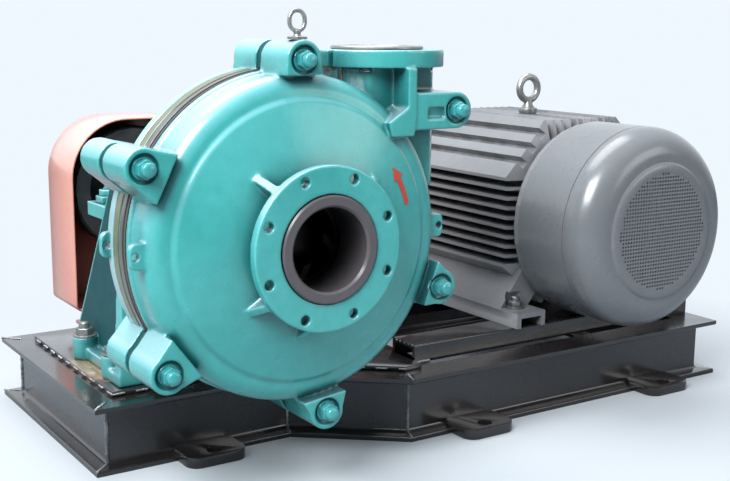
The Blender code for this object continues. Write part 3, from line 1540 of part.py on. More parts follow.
def guard_outline(inset):
    motor_z = motor_axis_height - pump_axis_height
    left, right = -guard_left_radius + inset, motor_x + guard_right_radius - inset
    low_right, high_right = motor_z - guard_right_radius + inset, motor_z + guard_right_radius - inset
    knee = guard_left_radius - inset
    corner = guard_corner - inset
    right_corner = guard_right_radius - inset * 2
    return rounded_outline([(left, guard_bottom + inset, guard_low_corner - inset),
                            (knee, guard_bottom + inset, corner),
                            (right, low_right, right_corner), (right, high_right, right_corner),
                            (knee * guard_knee_share, guard_top - inset, corner),
                            (left, guard_top - inset, corner)])


def belt_guard():
    guard = extruded("belt_guard", guard_outline(0), "y", guard_front, guard_back, pump_axis, guard_red)
    hollow = extruded("hollow", guard_outline(guard_sheet), "y", guard_front - overrun,
                      guard_back - guard_sheet,
                      pump_axis, guard_red)
    cut(guard, [hollow])
    floor = deck_top + touch_gap - pump_axis_height
    legs = []
    for x in guard_leg_xs:
        outline = [(guard_leg_y, floor), (guard_leg_y + guard_leg_foot, floor),
                   (guard_leg_y + guard_leg_foot, floor + guard_leg_thickness),
                   (guard_leg_y + guard_leg_thickness, floor + guard_leg_thickness),
                   (guard_leg_y + guard_leg_thickness, guard_bottom + guard_sheet / 2),
                   (guard_leg_y, guard_bottom + guard_sheet / 2)]
        legs.append(extruded("leg", outline, "x", x - guard_leg_width / 2, x + guard_leg_width / 2, pump_axis,
                             guard_red))
    return join(guard, legs)


pulley("pump_pulley", pump_pulley_radius, shaft_radius + touch_gap, pump_axis)
pulley("motor_pulley", motor_pulley_radius, motor_shaft_radius + touch_gap, motor_axis)
for belt_index, belt_middle in enumerate(groove_centres()):
    v_belt(belt_index, belt_middle)
belt_guard()
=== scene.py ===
"""Looks of the belt-driven slurry pump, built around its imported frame, in metres.

Each visible casting, plate and fastener is modelled again at full detail at its frame node or close
to it, and the hidden nodes keep their own shape. Lengths in the sections about the pump and the
motor are measured from their shafts' axes.
"""

import math
import random

import bmesh
import bpy
from mathutils import Matrix, Vector


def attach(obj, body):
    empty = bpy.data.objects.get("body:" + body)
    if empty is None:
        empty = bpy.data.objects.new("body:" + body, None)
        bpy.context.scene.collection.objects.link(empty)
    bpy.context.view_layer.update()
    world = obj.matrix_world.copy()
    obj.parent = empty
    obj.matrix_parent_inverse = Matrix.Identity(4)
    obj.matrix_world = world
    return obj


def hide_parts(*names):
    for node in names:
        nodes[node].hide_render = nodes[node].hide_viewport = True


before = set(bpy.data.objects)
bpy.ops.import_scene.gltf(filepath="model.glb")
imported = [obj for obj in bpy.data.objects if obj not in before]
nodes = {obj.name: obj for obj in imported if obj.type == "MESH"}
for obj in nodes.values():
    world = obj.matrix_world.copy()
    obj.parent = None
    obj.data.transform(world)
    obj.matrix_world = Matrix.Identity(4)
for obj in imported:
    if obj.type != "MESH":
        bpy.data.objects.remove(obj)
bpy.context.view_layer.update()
static_body = "pump_frame"
pump_body = "pump_rotating_set"

# Origins of the three groups of lengths
floor_place = Vector((-0.33995, -0.2285, 0))
pump_place = Vector((-0.33995, -0.2285, 0.352))
motor_place = Vector((0.34675, -0.2285, 0.3015))

# Fits and steps
touch_gap = 0.0003
overrun = 0.004
weld_distance = 0.00001
ring_steps = 128
round_steps = 48
bolt_steps = 32
arc_steps = 10
sharp_angle = 35
turn_steps = 96
shaft_steps = 64
corner_steps = 4
curve_steps = 16

# Widths of rounded edges, from the widest to the finest
terminal_edge, lid_edge, cast_edge, plate_edge = 0.0040, 0.0035, 0.0020, 0.0015
sheet_edge, fin_edge, leg_edge, rail_edge, screw_edge = 0.0012, 0.0009, 0.0008, 0.0006, 0.0003
nut_edge_share = 0.05

# Casting skins, as (voxel, smoothing passes, share of the faces kept)
cover_skin, back_skin, base_skin = (0.0016, 10, 0.35), (0.0018, 8, 0.35), (0.0020, 8, 0.4)

# Skid
skid_left, skid_knee_x, skid_shoulder_x, skid_right = -0.221, 0.092, 0.240, 0.931
skid_front_pump, skid_front_motor, skid_back = 0.118, -0.002, 0.565
beam_height, beam_width, beam_flange, beam_web = 0.100, 0.056, 0.008, 0.006
beam_fillet = 0.006
beam_toe = 0.0025
deck_thickness, deck_inset, deck_right = 0.008, 0.043, 0.288
foot_length, foot_reach, foot_thickness, foot_corner, foot_hole = 0.095, 0.046, 0.016, 0.020, 0.0115
front_foot_xs, rear_foot_xs = (0.365, 0.770), (-0.050, 0.365, 0.770)
pump_foot_x = -0.050
rail_left, rail_right, rail_height, rail_width, rail_wall = 0.292, 0.925, 0.030, 0.062, 0.007
rail_corner, rail_inner_share = 0.003, 0.6
motor_bolt_ys = (0.098, 0.352)

# Weld beads, as (ripple radius, pitch, ripples in a row before a gap as long as the row)
stitch_bead, corner_bead, mitre_bead = (0.0019, 0.0020, 9), (0.0032, 0.0026), (0.0022, 0.0022)
rail_end_bead, rail_cut_bead = (0.0030, 0.0026), (0.0017, 0.0028, 2)
bead_least, bead_spread, bead_wobble = 0.85, 0.3, 0.12
stitch_lift, bead_shift, rail_bead_length, bead_drop = 0.0035, 0.001, 0.030, 0.002

# Casing
casing_radius, casing_wall = 0.224, 0.013
cover_back, joint_width, frame_back, frame_wall = -0.022, 0.0085, 0.036, 0.014
rim_width, rim_step, seam_step = 0.012, 0.004, 0.0018
grey_hoop_end, olive_hoop_start, olive_hoop_end = -0.004, 0.0005, 0.014
sheen_hoop_start, hoop_proud = 0.017, 0.0012
shoulder_front, crease_radius, crease_front = -0.062, 0.191, -0.086
crease_depth, crease_width = 0.005, 0.006
neck_radius, neck_face = 0.084, -0.119
suction_face, suction_flange_radius, suction_flange_thickness = -0.151, 0.1085, 0.015
suction_hole_circle, suction_hole_radius, suction_hole_count, suction_hole_start = 0.0953, 0.0065, 8, 22.5
gusset_angles, gusset_thickness, gusset_reach = (40, 132, 220, 260, 320), 0.012, 0.134
lug_angles = (91.1, 153.8, 216.7, 277.3, 338.8, 34.4)
lug_circles = (0.2371, 0.25143, 0.2489, 0.2385, 0.2358, 0.2928)
lug_radius, lug_front, lug_back, lug_root_widths = 0.0255, -0.095, 0.056, (0.054, 0.068, 0.068, 0.068, 0.068)
lug_gap, lug_gap_depth = 0.0045, 0.003
lug_hole_radius, lug_recess_radius, lug_recess_depth = 0.0108, 0.0185, 0.006
bolt_radius, bolt_tail = 0.0092, 0.010
nut_across, nut_thickness, washer_radius, washer_thickness = 0.0220, 0.012, 0.0145, 0.0025
bolt_dome, washer_edge, dome_steps = 0.004, 0.0008, 6
washer_share, foot_dome_share = 0.78, 0.35
eye_link_width, eye_link_height, eye_wire_radius, eye_link_inset = 0.028, 0.0315, 0.0028, 0.020
eye_stem_length = 0.0105
eye_collar_profile = [(0, 0), (0.0125, 0), (0.0130, 0.0006), (0.0130, 0.0030), (0.0122, 0.0036),
                      (0.0052, 0.0042), (0.0044, 0.0060), (0.0050, 0.0090), (0.0046, 0.0112), (0, 0.0118)]
pad_angles, pad_reach, pad_width, pad_corner, pad_hole_radius = (180, 0), 0.2380, 0.035, 0.010, 0.0050
pad_cover_front, pad_cover_back, pad_frame_front, pad_frame_back = -0.072, -0.060, 0.023, 0.035

# Discharge
discharge_x, discharge_y, discharge_top = 0.172, 0.005, 0.2480
discharge_flange_radius, discharge_flange_thickness = 0.095, 0.024
discharge_neck_radius, discharge_neck_foot, discharge_bore_radius = 0.080, 0.055, 0.041
discharge_bolt_circle, discharge_hole_radius, discharge_hole_count = 0.0762, 0.0085, 4
discharge_ring_radius, discharge_ring_height = 0.066, 0.005
ring_top_edge, ring_foot_edge, ring_groove_depth = 0.0016, 0.0008, 0.001
ring_lip_radius, ring_groove_start, ring_groove_end, ring_bore_drop = 0.006, 0.005, 0.002, 0.003
rib_front, rib_floor, rib_x, rib_width, rib_knee_height = -0.0965, -0.057, 0.158, 0.0135, 0.172
rib_end_x, rib_end_height, rib_tip_height, rib_foot_x, arm_left = 0.126, 0.152, 0.132, 0.168, 0.166
groove_left, groove_right, groove_low, groove_high, groove_depth = 0.192, 0.2205, 0.155, 0.170, 0.006
sleeve_liner_radius, sleeve_liner_foot = 0.050, 0.095

# Wet end
throat_bore_radius, throat_outer_radius, throat_proud, throat_disc_radius = 0.055, 0.0705, 0.003, 0.112
throat_chamfer, throat_bore_chamfer = 0.0022, 0.003
volute_start_radius, volute_end_radius, volute_cutwater_angle = 0.140, 0.186, 55
cavity_front, cavity_back = -0.082, 0.006
impeller_radius, impeller_eye_radius, impeller_hub_radius = 0.1225, 0.052, 0.034
impeller_front, impeller_back, shroud_thickness = -0.079, 0.003, 0.009
vane_count, vane_thickness, vane_sweep, vane_start_radius, vane_inset = 5, 0.012, 95, 0.036, 0.002
impeller_bore, impeller_nose, impeller_bore_end = 0.0183, -0.062, -0.044
impeller_nose_depth, nose_steps = 0.012, 8

# Shaft, seal and bearing assembly
shaft_radius, shaft_thread_radius, shaft_end, shaft_chamfer = 0.0240, 0.0180, 0.577, 0.0015
stuffing_radius, stuffing_end, stuffing_bore_radius = 0.072, 0.090, 0.0420
stuffing_throat_radius, stuffing_throat_end, packing_back = 0.0320, 0.040, 0.076
sleeve_radius, gland_nose_end, gland_flange_radius, gland_flange_thickness = 0.0300, 0.098, 0.062, 0.010
gland_stud_radius, gland_stud_reach, gland_stud_inset = 0.005, 0.018, 0.009
gland_nut_across, gland_nut_thickness = 0.016, 0.008
thread_pitch, thread_depth, thread_steps = 0.0025, 0.0009, 24
housing_front, housing_back, housing_radius, housing_bore_radius = 0.150, 0.440, 0.072, 0.052
housing_rib_radius, housing_rib_width = 0.078, 0.022
cover_flange_radius, cover_flange_thickness, cover_nose_depth, cover_nose_wall = 0.0735, 0.012, 0.012, 0.008
cover_screw_count, cover_screw_start, cover_screw_across, cover_screw_height = 6, 30, 0.013, 0.006
clamp_width, strap_thickness, strap_ear, strap_ys = 0.030, 0.011, 0.030, (0.225, 0.365)
strap_nut_relief, strap_stud_share, strap_steps = 0.003, 0.85, 40
bearing_inset = 0.014
base_front_plate, base_half_width, base_wall, base_top, base_top_back = 0.016, 0.130, 0.012, 0.048, 0.270
base_foot_front, base_foot_back, base_wall_front = 0.207, 0.457, 0.235
base_knee_height, base_front_low, base_plate_low, base_hole_radius = -0.125, -0.040, -0.120, 0.080
base_strip_height, base_strip_inner, base_strip_outer = 0.018, 0.100, 0.154
base_boss_radius, base_boss_height, base_bolt_x, base_bolt_ys = 0.019, 0.036, 0.150, (0.226, 0.350)
base_bolt_radius, base_nut_across, base_nut_thickness, base_bolt_tail = 0.008, 0.024, 0.013, 0.010
saddle_radius, saddle_front, saddle_back, saddle_start_angle = 0.088, 0.190, 0.400, 16
base_corner, rear_wall_top_half, running_gap, hole_clearance = 0.040, 0.070, 0.0015, 0.0008
front_web_start, front_web_end, front_web_top = 0.168, 0.190, -0.095
front_web_reach, front_web_top_reach = 0.165, 0.157
front_foot_inner, front_foot_back = 0.110, 0.217
side_panel_inset, side_panel_thickness = 0.005, 0.0006

# Motor
motor_body_front, motor_body_back, motor_body_radius, motor_bore_radius = 0.100, 0.440, 0.118, 0.0895
motor_side_reach, motor_top_reach, motor_bottom_reach = 0.170, 0.172, 0.150
motor_fin_pitch, motor_fin_thickness, motor_fin_count, motor_top_fin_count = 0.0167, 0.0055, 10, 11
motor_corner_grooves, motor_groove_depth, groove_land_share = 3, 0.014, 0.55
fin_end_step, fin_end_slope, fin_end_lean, barrel_reach_share, spot_share = 0.012, 0.022, 2.2, 1.5, 0.8
motor_foot_front, motor_foot_back, motor_foot_inner, motor_foot_outer = 0.056, 0.400, 0.128, 0.190
motor_foot_height, motor_foot_wall, motor_foot_web_height = 0.026, 0.009, 0.060
motor_bolt_x, motor_bolt_radius, motor_nut_across, motor_nut_thickness = 0.160, 0.007, 0.022, 0.011
motor_bolt_tail, web_root_share = 0.009, 0.5
fan_cover_radius, fan_cover_back, fan_cover_front, fan_cover_wall = 0.1695, 0.086, -0.081, 0.0025
fan_cover_round, fan_cover_step, grille_radius, grille_pitch_cad = 0.048, 0.004, 0.100, 0.0220
grille_pitch, grille_bar, grille_inset, grille_near, grille_far = 0.0060, 0.0027, 0.002, 0.0004, 0.0016
rim_overlap, rim_roll, rim_roll_depth, drum_steps = 0.001, 0.0005, 0.0008, 160
cover_seam_y, cover_seam_width, cover_seam_depth = -0.022, 0.0018, 0.0012
terminal_front, terminal_back, terminal_low, terminal_high, terminal_inner = 0.200, 0.330, 0.010, 0.125, 0.121
terminal_lid, terminal_reach = 0.012, 0.2015
terminal_screw_inset, terminal_screw_radius = 0.006, 0.0045
terminal_screw_root, terminal_screw_sink = 0.001, 0.0002
terminal_gland_radius, terminal_gland_reach, terminal_gland_root = 0.0125, 0.022, 0.001
terminal_nut_across, terminal_nut_thickness = 0.024, 0.012
motor_eye_y, motor_eye_radius, motor_eye_wire = 0.264, 0.0215, 0.0065
motor_eye_collar_radius, motor_eye_collar_height, motor_eye_neck = 0.017, 0.010, 0.014
motor_eye_neck_profile = [(0, 0), (0.0125, 0), (0.0085, 0.006), (0.0078, 0.016), (0, 0.016)]

# Belt guard
guard_front, guard_back, guard_sheet = 0.484, 0.605, 0.003
guard_left_radius, guard_right_radius, guard_bottom, guard_top = 0.1155, 0.100, -0.2037, 0.1225
guard_corner, guard_low_corner, guard_knee_share = 0.100, 0.012, 0.5
guard_leg_width, guard_leg_thickness, guard_leg_foot, guard_leg_y = 0.040, 0.006, 0.045, 0.520
guard_leg_xs = (-0.070, 0.080)

# Rotation arrow, as angles round the shaft and lengths on the cone
arrow_tail, arrow_head, arrow_tip = 14.5, 28.5, 35.0
arrow_radius, arrow_half_shaft, arrow_half_head = 0.160, 0.0040, 0.0095
arrow_tip_width, arrow_proud, arrow_thickness, arrow_steps = 0.0002, 0.0006, 0.0012, 14

deck_top = beam_height + touch_gap + deck_thickness
rail_base = beam_height + touch_gap
rail_top = rail_base + rail_height
frame_front = cover_back + joint_width
liner_back = frame_back - frame_wall - touch_gap
motor_rise = motor_place.z - rail_top
motor_offset = motor_place - pump_place
collection = bpy.context.scene.collection
randomness = random.Random(7)


def made(name, bm, smooth=True):
    """A new object from a bmesh, welded and with its faces turned outwards."""
    bmesh.ops.remove_doubles(bm, verts=bm.verts, dist=weld_distance)
    bmesh.ops.recalc_face_normals(bm, faces=bm.faces)
    mesh = bpy.data.meshes.new(name)
    bm.to_mesh(mesh)
    bm.free()
    obj = bpy.data.objects.new(name, mesh)
    collection.objects.link(obj)
    if smooth:
        shade(obj)
    return obj


def shade(obj, angle=sharp_angle):
    obj.data.shade_smooth()
    obj.data.set_sharp_from_angle(angle=math.radians(angle))


def turned(name, profile, steps=ring_steps):
    """A profile of (radius, y) points turned about Y; one that starts and ends at radius 0 is solid."""
    bm = bmesh.new()
    points = [bm.verts.new((radius, y, 0)) for radius, y in profile]
    closed = min(radius for radius, y in profile) > 0
    for first, second in zip(points, points[1:] + points[:1]):
        if closed or second is not points[0]:
            bm.edges.new((first, second))
    bmesh.ops.spin(bm, geom=bm.verts[:] + bm.edges[:], cent=(0, 0, 0), axis=(0, 1, 0), angle=math.tau,
                   steps=steps, use_merge=True)
    bmesh.ops.remove_doubles(bm, verts=bm.verts, dist=weld_distance)
    bmesh.ops.dissolve_degenerate(bm, edges=bm.edges, dist=weld_distance)
    return made(name, bm)


def extruded(name, outline, direction, start, end):
    """An outline pushed along an axis: (x, z) points for y, (y, z) for x and (x, y) for z."""
    place = {"y": lambda a, b: (a, start, b), "x": lambda a, b: (start, a, b),
             "z": lambda a, b: (a, b, start)}[direction]
    push = {"y": (0, end - start, 0), "x": (end - start, 0, 0), "z": (0, 0, end - start)}[direction]
    bm = bmesh.new()
    face = bm.faces.new([bm.verts.new(place(a, b)) for a, b in outline])
    result = bmesh.ops.extrude_face_region(bm, geom=[face], use_keep_orig=True)
    moved = [item for item in result["geom"] if isinstance(item, bmesh.types.BMVert)]
    bmesh.ops.translate(bm, verts=moved, vec=push)
    return made(name, bm)


def polar(radius, angle):
    return radius * math.cos(angle), radius * math.sin(angle)


def even_angles(count, start):
    """Angles in radians that share a full turn, from a start in degrees."""
    return [math.radians(start + 360 * index / count) for index in range(count)]


def circle_points(centre, radius, steps, start=0.0):
    return [(centre[0] + radius * math.cos(start + math.tau * step / steps),
             centre[1] + radius * math.sin(start + math.tau * step / steps)) for step in range(steps)]


def arc_points(centre, radius, start, end, steps=arc_steps):
    return [(centre[0] + radius * math.cos(math.radians(start + (end - start) * step / steps)),
             centre[1] + radius * math.sin(math.radians(start + (end - start) * step / steps)))
            for step in range(steps + 1)]


def rotated(points, angle):
    c, s = math.cos(math.radians(angle)), math.sin(math.radians(angle))
    return [(c * a - s * b, s * a + c * b) for a, b in points]


def shifted(points, da, db):
    return [(a + da, b + db) for a, b in points]


def box(name, x_range, y_range, z_range):
    outline = [(x_range[0], z_range[0]), (x_range[1], z_range[0]), (x_range[1], z_range[1]),
               (x_range[0], z_range[1])]
    return extruded(name, outline, "y", y_range[0], y_range[1])


def rod(name, direction, centre, radius, start, end, steps=round_steps):
    return extruded(name, circle_points(centre, radius, steps), direction, start, end)


def hole(direction, centre, radius, start, end, steps=round_steps):
    """A cutter for a round hole, a little longer than the hole at both ends."""
    return rod("hole", direction, centre, radius, start - overrun, end + overrun, steps)


def rounded_box_outline(half_a, half_b, corner):
    points = []
    for sign_a, sign_b, start in ((1, 1, 0), (-1, 1, 90), (-1, -1, 180), (1, -1, 270)):
        centre = (sign_a * (half_a - corner), sign_b * (half_b - corner))
        points += arc_points(centre, corner, start, start + 90)
    return points


def baked(obj):
    """Applies the object's modifiers to its mesh."""
    graph = bpy.context.evaluated_depsgraph_get()
    mesh = bpy.data.meshes.new_from_object(obj.evaluated_get(graph))
    obj.modifiers.clear()
    obj.data = mesh
    return obj


def combined(target, pieces, operation):
    """Applies one Boolean for each piece to the target, and removes the pieces."""
    for piece in pieces:
        modifier = target.modifiers.new(piece.name, 'BOOLEAN')
        modifier.operation = operation
        modifier.solver = 'EXACT'
        modifier.object = piece
    baked(target)
    for piece in pieces:
        bpy.data.objects.remove(piece, do_unlink=True)
    return target


def joined(target, pieces):
    return combined(target, pieces, 'UNION')


def cut(target, pieces):
    return combined(target, pieces, 'DIFFERENCE')


def merged(name, pieces):
    """Puts the meshes of several objects into one object, with no Boolean."""
    bm = bmesh.new()
    for piece in pieces:
        bm.from_mesh(piece.data)
        bpy.data.objects.remove(piece, do_unlink=True)
    mesh = bpy.data.meshes.new(name)
    bm.to_mesh(mesh)
    bm.free()
    obj = bpy.data.objects.new(name, mesh)
    collection.objects.link(obj)
    shade(obj)
    return obj


def bevelled(obj, width, segments=2, angle=40):
    modifier = obj.modifiers.new("edge", 'BEVEL')
    modifier.width = width
    modifier.segments = segments
    modifier.limit_method = 'ANGLE'
    modifier.angle_limit = math.radians(angle)
    modifier.harden_normals = False
    baked(obj)
    shade(obj)
    return obj


def cast(obj, voxel, passes, keep):
    """Rounds every edge and inner corner the way a sand casting has them."""
    skin = obj.modifiers.new("skin", 'REMESH')
    skin.mode = 'VOXEL'
    skin.voxel_size = voxel
    ease = obj.modifiers.new("ease", 'SMOOTH')
    ease.factor = 0.5
    ease.iterations = passes
    fewer = obj.modifiers.new("fewer", 'DECIMATE')
    fewer.ratio = keep
    baked(obj)
    obj.data.shade_smooth()
    return obj


def seated(obj, place, material, body, *replaced, slot=None):
    """Moves a finished piece from its own lengths to its place in the row and gives it its look."""
    obj.data.transform(Matrix.Translation(place))
    obj.data.materials.clear()
    obj.data.materials.append(material)
    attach(obj, body)
    if replaced:
        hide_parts(*replaced)
    return obj


# Materials

# Direction the key light comes from, and the pale tints painted on faces turned to it as a highlight
lit_side = (-0.47, -0.28, 0.84)
sheen_colour, white_sheen_colour = (0.420, 0.690, 0.830, 1), (0.720, 0.780, 0.800, 1)


class Recipe:
    """A small builder for one node material around its Principled shader."""

    def __init__(self, name, roughness=0.5, metallic=0.0, coat=0.0, coat_roughness=0.1):
        self.material = bpy.data.materials.new(name)
        self.material.use_nodes = True
        self.tree = self.material.node_tree
        self.shader = self.tree.nodes["Principled BSDF"]
        self.shader.inputs["Roughness"].default_value = roughness
        self.shader.inputs["Metallic"].default_value = metallic
        self.shader.inputs["Coat Weight"].default_value = coat
        self.shader.inputs["Coat Roughness"].default_value = coat_roughness
        self.place = self.tree.nodes.new("ShaderNodeTexCoord").outputs["Object"]

    def add(self, kind, **inputs):
        node = self.tree.nodes.new(kind)
        for key, value in inputs.items():
            self.feed(node.inputs[key.replace("_", " ")], value)
        return node

    def feed(self, socket, value):
        if isinstance(value, bpy.types.NodeSocket):
            self.tree.links.new(value, socket)
        else:
            socket.default_value = value

    def noise(self, scale, detail, roughness=0.55):
        return self.add("ShaderNodeTexNoise", Vector=self.place, Scale=scale, Detail=detail,
                        Roughness=roughness).outputs["Fac"]

    def ramp(self, value, low, high, start=0.0, end=1.0):
        node = self.add("ShaderNodeMapRange", Value=value)
        node.inputs["From Min"].default_value = low
        node.inputs["From Max"].default_value = high
        node.inputs["To Min"].default_value = start
        node.inputs["To Max"].default_value = end
        return node.outputs["Result"]

    def mix(self, amount, first, second):
        node = self.tree.nodes.new("ShaderNodeMix")
        node.data_type = 'RGBA'
        self.feed(node.inputs[0], amount)
        self.feed(node.inputs[6], first)
        self.feed(node.inputs[7], second)
        return node.outputs[2]

    def math(self, operation, first, second):
        node = self.tree.nodes.new("ShaderNodeMath")
        node.operation = operation
        self.feed(node.inputs[0], first)
        self.feed(node.inputs[1], second)
        return node.outputs[0]

    def facing(self, side, low, high):
        """0 on faces turned away from a direction and 1 on those that look along it."""
        normal = self.tree.nodes.new("ShaderNodeNewGeometry").outputs["Normal"]
        along = self.tree.nodes.new("ShaderNodeVectorMath")
        along.operation = 'DOT_PRODUCT'
        self.feed(along.inputs[0], normal)
        self.feed(along.inputs[1], side)
        return self.ramp(along.outputs["Value"], low, high)

    def hollows(self, distance, low=0.35, high=0.95):
        """1 deep in corners and 0 on open faces."""
        shade_node = self.tree.nodes.new("ShaderNodeAmbientOcclusion")
        shade_node.samples = 8
        shade_node.inputs["Distance"].default_value = distance
        return self.ramp(shade_node.outputs["AO"], low, high, 1.0, 0.0)

    def bump(self, layers):
        """Layers of (height socket, strength, distance), one on top of another."""
        normal = None
        for height, strength, distance in layers:
            node = self.add("ShaderNodeBump", Height=height, Strength=strength, Distance=distance)
            if normal:
                self.feed(node.inputs["Normal"], normal)
            normal = node.outputs["Normal"]
        self.feed(self.shader.inputs["Normal"], normal)

    def finish(self, colour, roughness=None):
        self.feed(self.shader.inputs["Base Color"], colour)
        if roughness is not None:
            self.feed(self.shader.inputs["Roughness"], roughness)
        return self.material


def enamel(name, base, light, dark, roughness, grime_and_shade=0.5, bump=0.25, coat=0.3,
           grime_and_shade_colour=(0.05, 0.05, 0.045, 1), painted_sheen=0.0, painted_recess_shade=0.0):
    """Brushed or sprayed machine enamel on a casting: slow tint changes, dirt and painted shade in
    corners, fine skin.

    With a sheen amount above 0, faces that look up and to the left are painted pale as a highlight,
    and with a recess shade amount, wide recesses are painted darker as shade.
    """
    recipe = Recipe(name, roughness, coat=coat, coat_roughness=0.20)
    cloud = recipe.ramp(recipe.noise(5.0, 6.0), 0.35, 0.65)
    fine = recipe.ramp(recipe.noise(60.0, 3.0), 0.3, 0.7)
    colour = recipe.mix(recipe.math('MULTIPLY', cloud, 0.6), base, light)
    colour = recipe.mix(recipe.math('MULTIPLY', fine, 0.18), colour, dark)
    # Painted highlight: faces turned up and to the left are painted pale, the most turned almost white
    if painted_sheen:
        sheen_mask = recipe.math('MULTIPLY', recipe.facing(lit_side, 0.45, 1.0), painted_sheen)
        colour = recipe.mix(sheen_mask, colour, sheen_colour)
        white_sheen_mask = recipe.math('MULTIPLY', recipe.facing(lit_side, 0.80, 1.0), painted_sheen)
        colour = recipe.mix(white_sheen_mask, colour, white_sheen_colour)
    # Painted shade: wide recesses are painted darker
    if painted_recess_shade:
        deep = recipe.math('MULTIPLY', recipe.hollows(0.100, 0.38, 0.95), painted_recess_shade)
        colour = recipe.mix(deep, colour, grime_and_shade_colour)
    # Dirt and painted shade: tight corners are painted darker in patches
    corner = recipe.hollows(0.020)
    patch = recipe.ramp(recipe.noise(28.0, 5.0), 0.38, 0.62)
    dirt_and_shade = recipe.math('MULTIPLY', recipe.math('MULTIPLY', corner, patch), grime_and_shade)
    colour = recipe.mix(dirt_and_shade, colour, grime_and_shade_colour)
    rough = recipe.ramp(recipe.noise(18.0, 5.0), 0.3, 0.7, roughness * 0.8, roughness * 1.25)
    recipe.bump([(recipe.noise(16.0, 3.0), bump, 0.0012), (recipe.noise(420.0, 2.0), bump * 0.5, 0.0003)])
    return recipe.finish(colour, rough)


def bare_metal(name, base, dark, roughness, metallic, bump=0.15):
    """Metal with no paint: cloudy tint, fine grain and painted shade in corners."""
    recipe = Recipe(name, roughness, metallic)
    cloud = recipe.ramp(recipe.noise(25.0, 6.0), 0.35, 0.65)
    grain = recipe.ramp(recipe.noise(300.0, 3.0), 0.3, 0.7)
    colour = recipe.mix(recipe.math('MULTIPLY', cloud, 0.7), base, dark)
    # Painted shade: tight corners are painted darker
    colour = recipe.mix(recipe.math('MULTIPLY', recipe.hollows(0.008), 0.6), colour, dark)
    rough = recipe.ramp(grain, 0.0, 1.0, roughness * 0.8, roughness * 1.3)
    recipe.bump([(grain, bump, 0.0003), (recipe.noise(70.0, 4.0), bump, 0.0006)])
    return recipe.finish(colour, rough)


def skid_enamel(name, bare_spots=(), shine=1.62):
    """Thin glossy black-brown paint on rolled steel, with bare spots given as (place, radius)."""
    recipe = Recipe(name, 0.24, coat=0.9, coat_roughness=0.14)
    recipe.shader.inputs["Coat IOR"].default_value = shine
    slow = recipe.ramp(recipe.noise(1.6, 2.0), 0.30, 0.75)
    colour = recipe.mix(slow, (0.0125, 0.0098, 0.0100, 1), (0.0230, 0.0170, 0.0168, 1))
    rust = recipe.ramp(recipe.noise(7.0, 4.0), 0.60, 0.80)
    colour = recipe.mix(recipe.math('MULTIPLY', rust, 0.22), colour, (0.040, 0.024, 0.018, 1))
    scratch = recipe.ramp(recipe.noise(190.0, 5.0, 0.7), 0.74, 0.80)
    colour = recipe.mix(recipe.math('MULTIPLY', scratch, 0.22), colour, (0.13, 0.12, 0.12, 1))
    for place, radius in bare_spots:
        away = recipe.add("ShaderNodeVectorMath", Vector=recipe.place)
        away.operation = 'DISTANCE'
        away.inputs[1].default_value = place
        spread = recipe.math('ADD', away.outputs["Value"],
                             recipe.ramp(recipe.noise(24.0, 5.0), 0.3, 0.7, -0.022, 0.022))
        spot = recipe.ramp(spread, radius * 0.6, radius, 1.0, 0.0)
        colour = recipe.mix(recipe.math('MULTIPLY', spot, 0.8), colour, (0.33, 0.225, 0.120, 1))
    rough = recipe.ramp(recipe.noise(11.0, 4.0), 0.3, 0.7, 0.18, 0.34)
    recipe.bump([(recipe.noise(8.0, 2.0), 0.08, 0.0010), (recipe.noise(320.0, 3.0), 0.08, 0.0002)])
    return recipe.finish(colour, rough)


def guard_enamel(name):
    """Orange-red sheet paint, with a painted highlight in pale tint on faces turned up and to the left, and
    painted shade in deep red in its hollow inside.
    """
    recipe = Recipe(name, 0.34, coat=0.9, coat_roughness=0.15)
    cloud = recipe.ramp(recipe.noise(4.0, 5.0), 0.35, 0.65)
    colour = recipe.mix(cloud, (0.800, 0.265, 0.185, 1), (0.850, 0.340, 0.250, 1))
    # Painted highlight: faces turned up and to the left are painted pale
    colour = recipe.mix(recipe.math('MULTIPLY', recipe.facing(lit_side, 0.30, 1.00), 0.60), colour,
                        (0.880, 0.720, 0.660, 1))
    fine = recipe.ramp(recipe.noise(70.0, 4.0), 0.55, 0.75)
    colour = recipe.mix(recipe.math('MULTIPLY', fine, 0.15), colour, (0.520, 0.110, 0.070, 1))
    # Painted shade: the hollow inside is painted deep red
    inside = recipe.hollows(0.110, 0.45, 0.80)
    colour = recipe.mix(inside, colour, (0.200, 0.010, 0.008, 1))
    rough = recipe.ramp(recipe.noise(18.0, 5.0), 0.3, 0.7, 0.28, 0.44)
    recipe.bump([(recipe.noise(7.0, 2.0), 0.10, 0.0015), (recipe.noise(380.0, 2.0), 0.06, 0.0002)])
    return recipe.finish(colour, rough)


# Teal with a painted highlight on faces turned up and to the left, and painted shade in wide recesses
teal = enamel("teal_enamel", (0.050, 0.425, 0.400, 1), (0.105, 0.560, 0.535, 1), (0.008, 0.170, 0.175, 1),
              0.30, grime_and_shade=0.7, bump=0.16, coat=0.95, grime_and_shade_colour=(0.003, 0.070, 0.076, 1), painted_sheen=0.42,
              painted_recess_shade=0.85)
# Dark teal as painted shade, for the gaps between the lugs' halves and the base's side walls
teal_shade = enamel("teal_shade", (0.0020, 0.066, 0.074, 1), (0.004, 0.088, 0.095, 1),
                    (0.001, 0.038, 0.042, 1), 0.62, grime_and_shade=0.5, bump=0.12, coat=0.0,
                    grime_and_shade_colour=(0.001, 0.025, 0.028, 1))
